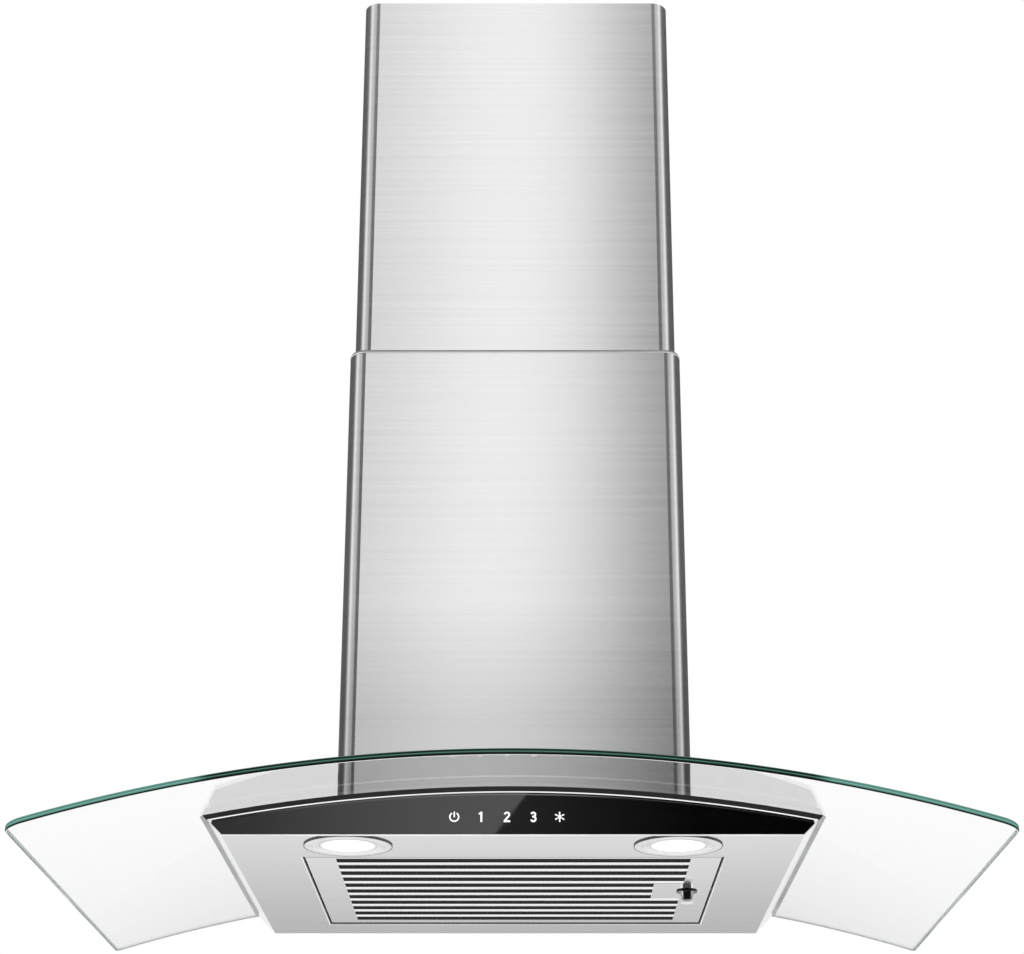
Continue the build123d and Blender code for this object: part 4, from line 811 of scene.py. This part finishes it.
def make_blocks(name, blocks, material, body):
    """One piece of many blocks, each given by its limits across, in depth and in height."""
    points, sizes = [], []
    for limits in blocks:
        points.append([(low + high) / 2 for low, high in limits])
        sizes.append([high - low for low, high in limits])
    mesh = grown_mesh(name, block_tree, points, {"size": ("FLOAT_VECTOR", sizes)}, {"Finish": material})
    return new_piece(name, mesh, material, body)


def make_spring_tree():
    """Round wire wound along X, one spring on each point."""
    tree, given, out = new_tree("springs", ("Turns", "Radius", "Length", "Wire Radius"))
    coil = add(tree, "GeometryNodeCurveSpiral", {
        "Resolution": 24, "Rotations": given["Turns"], "Start Radius": given["Radius"],
        "End Radius": given["Radius"], "Height": given["Length"],
    })
    wire = add(tree, "GeometryNodeCurvePrimitiveCircle", {"Resolution": 8, "Radius": given["Wire Radius"]})
    spring = add(tree, "GeometryNodeCurveToMesh", {
        "Curve": coil.outputs[0], "Profile Curve": wire.outputs[0], "Fill Caps": True,
    })
    lying = add(tree, "GeometryNodeTransform", {
        "Geometry": spring.outputs[0], "Rotation": (0, math.pi / 2, 0),
    })
    return end_tree(tree, given, out, lying.outputs[0])


def make_spring_coil():
    """The latch's spring, as a coil of round wire in place of the latch_spring node."""
    low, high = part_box("latch_spring")
    middle = (low + high) / 2
    long = high.x - low.x
    values = {
        "Turns": float(SPRING_TURNS), "Radius": (high.z - low.z) / 2 - SPRING_WIRE_R,
        "Length": long - 2 * SPRING_WIRE_R, "Wire Radius": SPRING_WIRE_R, "Finish": finishes["shaft_steel"],
    }
    start = (low.x + SPRING_WIRE_R, middle.y, middle.z)
    mesh = grown_mesh("spring_coil", make_spring_tree(), [start], {}, values)
    smoothed(mesh, 50)
    coil = new_piece("spring_coil", mesh, finishes["shaft_steel"], "filter")
    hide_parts("latch_spring")
    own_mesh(coil)
    return coil


def slot_row(row):
    """Middle of a slot, counted from the front."""
    return SLOT_FIELD_Y + SLOT_PITCH * (row - (SLOT_ROWS - 1) / 2)


def slot_right(row):
    return SLOT_LENGTH / 2 - (SLOT_SHORTENING if row in LATCH_ROWS else 0)


def make_filter_strips():
    points, lengths = [], []
    for row in range(SLOT_ROWS - 1):
        cut = SLOT_LENGTH / 2 - max(slot_right(row), slot_right(row + 1))
        points.append((-cut / 2, slot_row(row + 0.5), UNDERSIDE))
        lengths.append(SLOT_LENGTH - cut)
    values = {"Width": SLOT_PITCH - SLOT_WIDTH, "Bulge": STRIP_BULGE, "Finish": strip_steel}
    mesh = grown_mesh("filter_strips", make_strip_tree(), points, {"length": ("FLOAT", lengths)}, values)
    smoothed(mesh, 40)
    return new_piece("filter_strips", mesh, strip_steel, "filter")


def make_slot_painted_shade():
    """Dark sheets in the slots that paint their shade: on their rear walls and on both ends."""
    blocks = []
    z = (UNDERSIDE, UNDERSIDE + SLOT_SHADE_HIGH)
    for row in range(SLOT_ROWS):
        left, right = -SLOT_LENGTH / 2, slot_right(row)
        front, rear = slot_row(row) - SLOT_WIDTH / 2, slot_row(row) + SLOT_WIDTH / 2
        blocks.append(((left, right), (rear - SLOT_SHADE_THICK, rear), z))
        blocks.append(((left, left + SLOT_SHADE_THICK), (front, rear), z))
        blocks.append(((right - SLOT_SHADE_THICK, right), (front, rear), z))
    return make_blocks("slot_painted_shade", blocks, slot_shade_grey, "filter")


def opening_blocks(half, rear, wide_side, wide_rear):
    """Blocks behind the filter's opening and on both sides of it."""
    z = (UNDERSIDE - GAP_STRIP_THICK, UNDERSIDE)
    blocks = [((-half, half), (rear, rear + wide_rear), z)]
    for side in (-1, 1):
        x = sorted((side * half, side * (half + wide_side)))
        blocks.append((x, (OPENING_FRONT, rear + wide_rear), z))
    return blocks


def make_opening_gap_lines():
    """Black strips of painted shade beside and behind the filter's opening, and pale strips of painted
    highlight outside them.
    """
    gap_shade_blocks = opening_blocks(OPENING_HALF, OPENING_REAR, GAP_SHADE_WIDE, GAP_SHADE_WIDE_REAR)
    make_blocks("opening_gap_shade", gap_shade_blocks, finishes["black_seal"], "hood")
    gap_highlight_blocks = opening_blocks(OPENING_HALF + GAP_SHADE_WIDE, OPENING_REAR + GAP_SHADE_WIDE_REAR, GAP_HIGHLIGHT_WIDE_SIDE, GAP_HIGHLIGHT_WIDE)
    make_blocks("opening_gap_highlight", gap_highlight_blocks, pale_highlight, "hood")


def swept(name, path, profile, material, ring=False):
    """Piece of the hood: a profile carried along places with their two directions, or round in a ring."""
    points, faces = [], []
    count = len(profile)
    for place, first, second in path:
        points += [tuple(place + first * u + second * v) for u, v in profile]
    for i in range(len(path) - (0 if ring else 1)):
        here, there = i * count, (i + 1) % len(path) * count
        for j in range(count):
            k = (j + 1) % count
            faces.append((here + j, here + k, there + k, there + j))
    if not ring:
        faces.append(tuple(range(count)))
        faces.append(tuple(range(len(points) - count, len(points))))
    mesh = bpy.data.meshes.new(name)
    mesh.from_pydata(points, [], faces)
    whole = bmesh.new()
    whole.from_mesh(mesh)
    bmesh.ops.recalc_face_normals(whole, faces=whole.faces)
    whole.to_mesh(mesh)
    whole.free()
    smoothed(mesh, 35)
    return new_piece(name, mesh, material, "hood")


def arch_height(x, radius):
    """Height of the canopy's arch at a place across."""
    return ARCH_CENTRE + math.sqrt(radius * radius - x * x)


def square_to_arch(spot):
    """Direction from the arch's centre through a spot."""
    return Vector((spot.x, 0, spot.z - ARCH_CENTRE)).normalized()


def arch_path(radius, half, steps=72):
    """Places along the arch at the front panel, with the ways forward and away from the arch's centre."""
    path = []
    for i in range(steps + 1):
        x = half * (2 * i / steps - 1)
        place = Vector((x, BODY_FRONT, arch_height(x, radius)))
        path.append((place, FORWARD, square_to_arch(place)))
    return path


def make_front_lines():
    """Ridge on the bright trim, and the polished bevel along the panel's top."""
    ridge = [(0, TRIM_RIDGE / 2), (0, -TRIM_RIDGE / 2), (TRIM_PROUD, -TRIM_RIDGE / 2)]
    piece = swept("trim_ridge", arch_path(TRIM_R, TRIM_END), ridge, lip_steel)
    piece.visible_glossy = False
    half = BODY_HALF_LOW + math.sqrt(0.5) * PANEL_END_SLANT
    edge = [(0, -BEVEL_DROP), (0, -BEVEL_DROP - BEVEL_HIGH), (BEVEL_RISE, -BEVEL_DROP - BEVEL_HIGH)]
    swept("panel_bevel", arch_path(PANEL_TOP_R, half), edge, bevel_glass)


def make_panel_highlight_lines():
    """Pale line of painted highlight under the panel and up its slanted ends, with small triangles of painted
    highlight at the ends of the trim.
    """
    flat = [(EDGE_HIGHLIGHT_PROUD, 0), (EDGE_HIGHLIGHT_PROUD, -EDGE_HIGHLIGHT_WIDE), (-EDGE_HIGHLIGHT_DEEP, -EDGE_HIGHLIGHT_WIDE), (-EDGE_HIGHLIGHT_DEEP, 0)]
    thin = [(0, 0), (EDGE_HIGHLIGHT_PROUD, 0), (EDGE_HIGHLIGHT_PROUD, EDGE_HIGHLIGHT_WIDE / 2), (0, EDGE_HIGHLIGHT_WIDE / 2)]
    feet = [Vector((side * BODY_HALF_LOW, BODY_FRONT, UNDERSIDE)) for side in (-1, 1)]
    swept("panel_highlight_line", [(foot, FORWARD, UP) for foot in feet], flat, pale_highlight)
    start = Vector((0, BODY_FRONT, 0))
    for side, name, foot in zip((-1, 1), ("left", "right"), feet):
        head = foot + Vector((side, 0, 1)) * EDGE_HIGHLIGHT_UP
        inward = Vector((-side, 0, 1)).normalized()
        path = [(place, FORWARD, inward) for place in (foot, head)]
        swept("panel_highlight_line_" + name, path, thin, pale_highlight)
        tip = [(side * x, UNDERSIDE + z) for x, z in TRIM_TIP]
        path = [(place, RIGHT, UP) for place in (start, start + FORWARD * 3 * EDGE_HIGHLIGHT_PROUD)]
        swept("trim_end_highlight_" + name, path, tip, pale_highlight)


def make_side_seal_reflections():
    """Grey sealing beads under the glass, along the top of the body's slanted sides, whose grey is a painted
    reflection of those sides in the glass.
    """
    path = [(Vector((0, y, 0)), RIGHT, UP) for y in (SIDE_SEAL_REFLECTION_FRONT, SIDE_SEAL_REFLECTION_REAR)]
    for side, name in ((-1, "left"), (1, "right")):
        strip = [(side * x, arch_height(x, ARCH_TOP_R - GLASS_THICK) - SIDE_SEAL_REFLECTION_GAP) for x in SIDE_SEAL_REFLECTION]
        strip += [(x, z - SIDE_SEAL_REFLECTION_THICK) for x, z in reversed(strip)]
        swept("side_seal_reflection_" + name, path, strip, finishes["grey_seal"])


def make_lamp_rings():
    """Thin black ring round each lamp, a gasket under the bezel's rim whose black is painted shade in the gap
    round the bezel.
    """
    inner, outer = LAMP_RING
    ring = [(inner, 0), (outer, 0), (outer, -LAMP_RING_DROP), (inner, -LAMP_RING_DROP)]
    for (x, y), name in zip(LAMP_SPOTS, ("left", "right")):
        path = []
        for i in range(LAMP_RING_STEPS):
            angle = 2 * math.pi * i / LAMP_RING_STEPS
            outward = Vector((math.cos(angle), math.sin(angle), 0))
            path.append((Vector((x, y, UNDERSIDE)), outward, UP))
        swept("lamp_ring_" + name, path, ring, ring_grey, ring=True)


def chimney_path(inset, top):
    """Places round the lower chimney's top edge, with the ways outwards and up."""
    radius = CHIMNEY_CORNER - inset
    path = []
    for side in (-1, 1):
        middle = Vector((side * (CHIMNEY_HALF - CHIMNEY_CORNER), CHIMNEY_FRONT + CHIMNEY_CORNER, top))
        rear = Vector((side * (CHIMNEY_HALF - inset), CHIMNEY_REAR, top))
        half = [(rear, RIGHT * side, UP)]
        for i in range(CHIMNEY_CORNER_STEPS + 1):
            angle = math.pi / 2 * i / CHIMNEY_CORNER_STEPS
            way = Vector((side * math.cos(angle), -math.sin(angle), 0))
            half.append((middle + way * radius, way, UP))
        path += half if side < 0 else half[::-1]
    return path


def make_chimney_lip():
    """Rolled lip on the lower chimney's top edge, and the felt behind it that keeps dust out, whose dark grey
    line is painted shade above the lip.
    """
    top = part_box("lower_chimney")[1].z
    roll = [(0, -LIP_ROUND)]
    for i in range(LIP_STEPS + 1):
        angle = math.pi / 2 * i / LIP_STEPS
        roll.append((LIP_PROUD * math.cos(angle), LIP_ROUND * (math.sin(angle) - 1)))
    swept("chimney_lip", chimney_path(0, top), roll, lip_steel)
    felt = [(0, -FELT_HIGH), (0, FELT_HIGH), (-FELT_DEEP, FELT_HIGH), (-FELT_DEEP, -FELT_HIGH)]
    swept("chimney_felt", chimney_path(FELT_IN, top), felt, grey_felt)


def corner_cut(x, radius):
    """How far a rounded corner of the pane takes its edge back, at a place across."""
    into = abs(x) - (GLASS_HALF - radius)
    if into <= 0:
        return 0
    return radius - math.sqrt(max(0, radius * radius - into * into))


def pane_columns():
    """Places across where the pane's mesh has lines: even ones, and those of notch and corners."""
    flat = GLASS_HALF - GLASS_FRONT_CORNER
    places = {round(flat * i / GLASS_COLUMNS, 7) for i in range(-GLASS_COLUMNS, GLASS_COLUMNS + 1)}
    for side in (-1, 1):
        places.add(side * GLASS_NOTCH_HALF)
        for radius in (GLASS_FRONT_CORNER, GLASS_REAR_CORNER):
            for step in range(GLASS_CORNER_STEPS + 1):
                reach = radius * math.sin(math.pi / 2 * step / GLASS_CORNER_STEPS)
                places.add(side * round(GLASS_HALF - radius + reach, 7))
    return sorted(places)


def make_canopy_pane():
    """Arched pane with polished round edges and the notch for the blower box."""
    pane = bmesh.new()
    columns = []
    for x in pane_columns():
        rows = [GLASS_FRONT + corner_cut(x, GLASS_FRONT_CORNER), GLASS_NOTCH_FRONT]
        if abs(x) > GLASS_NOTCH_HALF - TOUCHING:
            rows.append(GLASS_REAR - corner_cut(x, GLASS_REAR_CORNER))
        columns.append([pane.verts.new((x, y, 0)) for y in rows])
    for left, right in zip(columns, columns[1:]):
        for row in range(min(len(left), len(right)) - 1):
            if row == 1 and abs(left[0].co.x + right[0].co.x) < 2 * GLASS_NOTCH_HALF - TOUCHING:
                continue
            pane.faces.new((left[row], right[row], right[row + 1], left[row + 1]))
    under = pane.faces[:]
    lifted = bmesh.ops.extrude_face_region(pane, geom=under, use_keep_orig=True)
    for item in lifted["geom"]:
        if isinstance(item, bmesh.types.BMVert):
            item.co.z = GLASS_THICK
    bmesh.ops.recalc_face_normals(pane, faces=pane.faces)
    # The rim's edges lie between a level face and an upright one
    rim = []
    for edge in pane.edges:
        slopes = sorted(abs(face.normal.z) for face in edge.link_faces)
        if len(slopes) == 2 and slopes[0] < 1 - LEVEL and slopes[1] > LEVEL:
            rim.append(edge)
    bmesh.ops.bevel(pane, geom=rim, offset=GLASS_EDGE_ROUND, segments=4, profile=0.5, affect="EDGES")
    pane.normal_update()
    for face in pane.faces:
        face.smooth = True
        face.material_index = 0 if abs(face.normal.z) > LEVEL else 1
    for edge in pane.edges:
        edge.smooth = len({face.material_index for face in edge.link_faces}) == 1
    for vert in pane.verts:
        vert.co.z = arch_height(vert.co.x, ARCH_TOP_R - GLASS_THICK + vert.co.z)
    mesh = bpy.data.meshes.new("canopy_pane")
    pane.to_mesh(mesh)
    on_edge = [face.material_index for face in pane.faces]
    pane.free()
    piece = new_piece("canopy_pane", mesh, finishes["clear_glass"], "hood")
    mesh.materials.append(glass_edge)
    mesh.polygons.foreach_set("material_index", on_edge)
    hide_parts("canopy_glass")
    return piece


def island_spots(node):
    """Corner points of each separate solid of a node, in an order that is the same each run."""
    copy = bmesh.new()
    copy.from_mesh(frame["nodes"][node].data)
    bmesh.ops.remove_doubles(copy, verts=copy.verts, dist=TOUCHING)
    seen = set()
    islands = []
    for first in copy.verts:
        if first in seen:
            continue
        seen.add(first)
        stack = [first]
        spots = []
        while stack:
            vert = stack.pop()
            spots.append(vert.co.copy())
            for edge in vert.link_edges:
                other = edge.other_vert(vert)
                if other not in seen:
                    seen.add(other)
                    stack.append(other)
        islands.append(spots)
    copy.free()
    return islands


def make_screws(tree, node, body, facing):
    """Screws in place of those of a node, each with its head on the same seat."""
    head_r, head, shank_r, length = SCREW_SIZES[node]
    points, ways = [], []
    for spots in island_spots(node):
        middle = sum(spots, Vector()) / len(spots)
        way = facing(middle)
        top = max(spot.dot(way) for spot in spots)
        ring = [spot for spot in spots if spot.dot(way) > top - head * 0.2]
        axis = sum(ring, Vector()) / len(ring)
        points.append(axis + way * (top - axis.dot(way) - head))
        ways.append(way)
    values = {
        "Head Radius": head_r, "Head Height": head, "Dome": head * 0.45, "Recess Width": head_r * 0.26,
        "Recess Depth": head * 0.55, "Shank Radius": shank_r, "Shank Length": length, "Finish": screw_steel,
    }
    mesh = grown_mesh(node + "_heads", tree, points, {"facing": ("FLOAT_VECTOR", ways)}, values)
    smoothed(mesh, 35)
    piece = new_piece(node + "_detailed", mesh, screw_steel, body)
    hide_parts(node)
    return piece


def sideways(spot):
    return Vector((math.copysign(1, spot.x), 0, 0))


def upwards(spot):
    return UP


def ring_outline(radius, width, start, end, steps):
    """Flat ring, or part of one, as corner points and quads."""
    points, faces = [], []
    for i in range(steps + 1):
        angle = math.radians(start + (end - start) * i / steps)
        for r in (radius - width / 2, radius + width / 2):
            points.append((r * math.sin(angle), r * math.cos(angle)))
    for i in range(steps):
        faces.append((2 * i, 2 * i + 1, 2 * i + 3, 2 * i + 2))
    return points, faces


def bar_outline(start, end, width_start, width_end):
    """Flat tapered bar with round ends."""
    along = (Vector(end) - Vector(start)).normalized()
    side = Vector((-along.y, along.x))
    points = []
    for spot, width, base in ((Vector(end), width_end, 1), (Vector(start), width_start, -1)):
        for i in range(9):
            angle = math.pi * i / 8
            way = side * math.cos(angle) + along * base * math.sin(angle)
            points.append(tuple(spot + way * width / 2))
        side = -side
    return points, [tuple(range(len(points)))]


def joined_shapes(shapes):
    """One list of points and faces from several."""
    points, faces = [], []
    for shape_points, shape_faces in shapes:
        base = len(points)
        points += shape_points
        faces += [tuple(i + base for i in face) for face in shape_faces]
    return points, faces


def power_symbol():
    ring = ring_outline(0.42, 0.13, 32, 328, 40)
    return joined_shapes([ring, bar_outline((0, 0.02), (0, 0.46), 0.13, 0.13)])


def light_symbol():
    shapes = [ring_outline(0.09, 0.18, 0, 360, 24)]
    for i in range(6):
        angle = math.radians(60 * i)
        way = Vector((math.sin(angle), math.cos(angle)))
        start = 0.1 if i in (0, 3) else 0.26
        shapes.append(bar_outline(tuple(way * start), tuple(way * 0.43), 0.1, 0.14))
    return joined_shapes(shapes)


def arc_path(middle, radius, start, end, steps=14):
    """Points on part of a circle, by degrees from the right, anticlockwise."""
    points = []
    for i in range(steps + 1):
        angle = math.radians(start + (end - start) * i / steps)
        points.append((middle[0] + radius * math.cos(angle), middle[1] + radius * math.sin(angle)))
    return points


def stroke_outline(path, width):
    """Flat band of one width along a line of points."""
    spots = [Vector(point) for point in path]
    points = []
    for i, spot in enumerate(spots):
        before = spots[max(i - 1, 0)]
        after = spots[min(i + 1, len(spots) - 1)]
        side = (after - before).normalized().orthogonal() * width / 2
        points += [tuple(spot - side), tuple(spot + side)]
    faces = [(2 * i, 2 * i + 1, 2 * i + 3, 2 * i + 2) for i in range(len(spots) - 1)]
    return points, faces


def figure_one():
    points = [
        (-0.02, -0.5), (0.16, -0.5), (0.16, 0.5), (0.03, 0.5), (-0.18, 0.35), (-0.18, 0.20), (-0.02, 0.29),
    ]
    return points, [tuple(range(len(points)))]


def figure_two():
    bow = arc_path((0, 0.21), 0.21, 170, -35)
    foot = stroke_outline([(-0.31, -0.42), (0.31, -0.42)], SIGN_STROKE)
    return joined_shapes([stroke_outline(bow + [(-0.21, -0.36)], SIGN_STROKE), foot])


def figure_three():
    high = stroke_outline(arc_path((0, 0.23), 0.19, 165, -90), SIGN_STROKE)
    low = stroke_outline(arc_path((0, -0.20), 0.22, 90, -165), SIGN_STROKE)
    joint = stroke_outline([(-0.10, 0.03), (0.02, 0.03)], SIGN_STROKE * 0.9)
    return joined_shapes([high, low, joint])


def make_symbols():
    """Power, three fan steps and light, printed on the panel."""
    panel_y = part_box("front_panel")[0].y
    signs = [power_symbol(), figure_one(), figure_two(), figure_three(), light_symbol()]
    shapes = []
    for i, (points, faces) in enumerate(signs):
        x = SYMBOL_MIDDLE[0] + SYMBOL_PITCH * (i - 2)
        z = UNDERSIDE + SYMBOL_MIDDLE[1]
        shapes.append(([(x + u * SYMBOL_TALL, panel_y, z + v * SYMBOL_TALL) for u, v in points], faces))
    points, faces = joined_shapes(shapes)
    mesh = bpy.data.meshes.new("touch_symbols")
    mesh.from_pydata(points, [], faces)
    print_mesh = bmesh.new()
    print_mesh.from_mesh(mesh)
    for face in print_mesh.faces:
        face.normal_update()
        if face.normal.y > 0:
            face.normal_flip()
    raised = bmesh.ops.extrude_face_region(print_mesh, geom=print_mesh.faces[:], use_keep_orig=True)
    for item in raised["geom"]:
        if isinstance(item, bmesh.types.BMVert):
            item.co.y -= SYMBOL_LIFT
    bmesh.ops.recalc_face_normals(print_mesh, faces=print_mesh.faces)
    print_mesh.to_mesh(mesh)
    print_mesh.free()
    piece = new_piece("touch_symbols", mesh, symbol_print, "hood")
    piece.visible_glossy = False
    return piece


# Stage

def make_floor():
    """Round pale floor, white towards its rim."""
    middle = (0, FLOOR_BACK, UNDERSIDE - FLOOR_DROP)
    points = [middle]
    for i in range(FLOOR_STEPS):
        angle = 2 * math.pi * i / FLOOR_STEPS
        x, y = FLOOR_RADIUS * math.cos(angle), FLOOR_RADIUS * math.sin(angle)
        points.append((x, y + middle[1], middle[2]))
    mesh = bpy.data.meshes.new("floor")
    mesh.from_pydata(points, [], [(0, i + 1, (i + 1) % FLOOR_STEPS + 1) for i in range(FLOOR_STEPS)])
    material, tree, surface, place = new_finish("pale floor")
    skin = placed_group(tree, moulded_skin, place, Grain=200.0)
    away = measured(tree, "DISTANCE", place, middle)
    rim = spread(tree, away, 0.5 * FLOOR_RADIUS, FLOOR_RADIUS, 0.0, 1.0, smooth=True)
    pale = blended(tree, skin["Tone"], grey(0.86), grey(0.90))
    feed(tree, surface["Base Color"], blended(tree, rim, pale, grey(0.98)))
    roughened(tree, surface, skin["Marks"], 0.75, 0.85)
    floor = new_object("floor", mesh)
    mesh.materials.append(material)


def make_world():
    """White room: even light on the object, white behind it, and banded light in its reflections."""
    world = bpy.data.worlds.new("studio")
    bpy.context.scene.world = world
    world.use_nodes = True
    world.cycles.sampling_method = "NONE"
    tree = world.node_tree
    tree.nodes.clear()
    way = add(tree, "ShaderNodeTexCoord").outputs["Generated"]
    parts = parts_of(tree, way)
    height = parts["Z"]
    front = maths(tree, "MULTIPLY", parts["Y"], -1.0)
    turn = maths(tree, "DEGREES", maths(tree, "ARCTAN2", parts["X"], front))
    away = maths(tree, "ABSOLUTE", turn)

    def share(value, limits, falling=False, smooth=True):
        """How far a value has passed from one limit to the other, or is still to pass."""
        ends = (1.0, 0.0) if falling else (0.0, 1.0)
        return spread(tree, value, *limits, *ends, smooth=smooth)

    beside = share(away, FRONT_BANDS_END, smooth=False)
    around = between(tree, beside, banded(tree, turn, FRONT_BANDS), banded(tree, away, SIDE_BANDS))
    dark_turn = share(away, DARK_BACK_TURN, smooth=False)
    dark_back = maths(tree, "MULTIPLY", dark_turn, share(height, DARK_BACK_HEIGHTS, smooth=False))
    around = between(tree, dark_back, around, DARK_BACK_LEVEL)
    around = between(tree, share(height, CEILING_HEIGHTS), around, CEILING_LEVEL)
    low_front = spread(tree, height, *FRONT_FLOOR_HEIGHTS, *FRONT_FLOOR_LEVELS, smooth=True)
    low_room = between(tree, share(front, FRONT_FACING), banded(tree, height, BACK_FLOOR), low_front)
    room = between(tree, share(height, HORIZON), low_room, around)
    side = measured(tree, "DOT_PRODUCT", way, CARD_EDGE)
    lit = share(side, (-CARD_EDGE_BLUR, CARD_EDGE_BLUR), smooth=False)
    card = between(tree, lit, banded(tree, turn, CARD_DARK), banded(tree, turn, CARD_LIT))
    upright = maths(tree, "MULTIPLY", share(height, CARD_FOOT), share(height, CARD_TOP, falling=True))
    on_card = maths(tree, "MULTIPLY", upright, share(away, CARD_HALF, falling=True))
    shown = between(tree, on_card, room, card)
    path = add(tree, "ShaderNodeLightPath").outputs
    mirrored = maths(tree, "GREATER_THAN", path["Glossy Depth"], 0.5)
    level = between(tree, mirrored, ROOM_LEVEL, shown)
    level = between(tree, path["Is Diffuse Ray"], level, ROOM_LEVEL)
    backdrop = add(tree, "ShaderNodeBackground", {"Color": grey(1), "Strength": level})
    add(tree, "ShaderNodeOutputWorld", {"Surface": backdrop.outputs[0]})


def make_lamp(name, spot, size, watts):
    lamp = bpy.data.lights.new(name, "AREA")
    lamp.shape = "DISK"
    lamp.size = size
    lamp.energy = watts
    holder = new_object(name, lamp)
    holder.location = spot
    holder.rotation_euler = (Vector(SOFTBOX_TARGET) - Vector(spot)).to_track_quat("-Z", "Y").to_euler()
    holder.visible_glossy = False


def make_camera():
    camera = bpy.data.cameras.new("photo camera")
    camera.sensor_width = CAMERA_SENSOR
    camera.lens = CAMERA_LENS
    camera.shift_x, camera.shift_y = CAMERA_SHIFT
    holder = new_object("photo camera", camera)
    holder.location = CAMERA_SPOT
    holder.rotation_euler = (math.radians(90 + CAMERA_TILT), 0, 0)
    bpy.context.scene.camera = holder


dress_nodes()
make_symbols()
make_canopy_pane()
make_filter_strips()
make_spring_coil()
block_tree = make_block_tree()
make_slot_painted_shade()
make_opening_gap_lines()
make_front_lines()
make_panel_highlight_lines()
make_side_seal_reflections()
make_lamp_rings()
make_chimney_lip()
screw_tree = make_screw_tree()
make_screws(screw_tree, "glass_screws", "hood", square_to_arch)
make_screws(screw_tree, "chimney_screws", "hood", sideways)
make_screws(screw_tree, "bracket_screws", "upper_flue", sideways)
make_screws(screw_tree, "box_screws", "hood", upwards)

make_camera()
make_floor()
make_world()
for name, (spot, size, watts) in SOFTBOXES.items():
    make_lamp(name, spot, size, watts)
bpy.context.scene.view_settings.view_transform = "Standard"
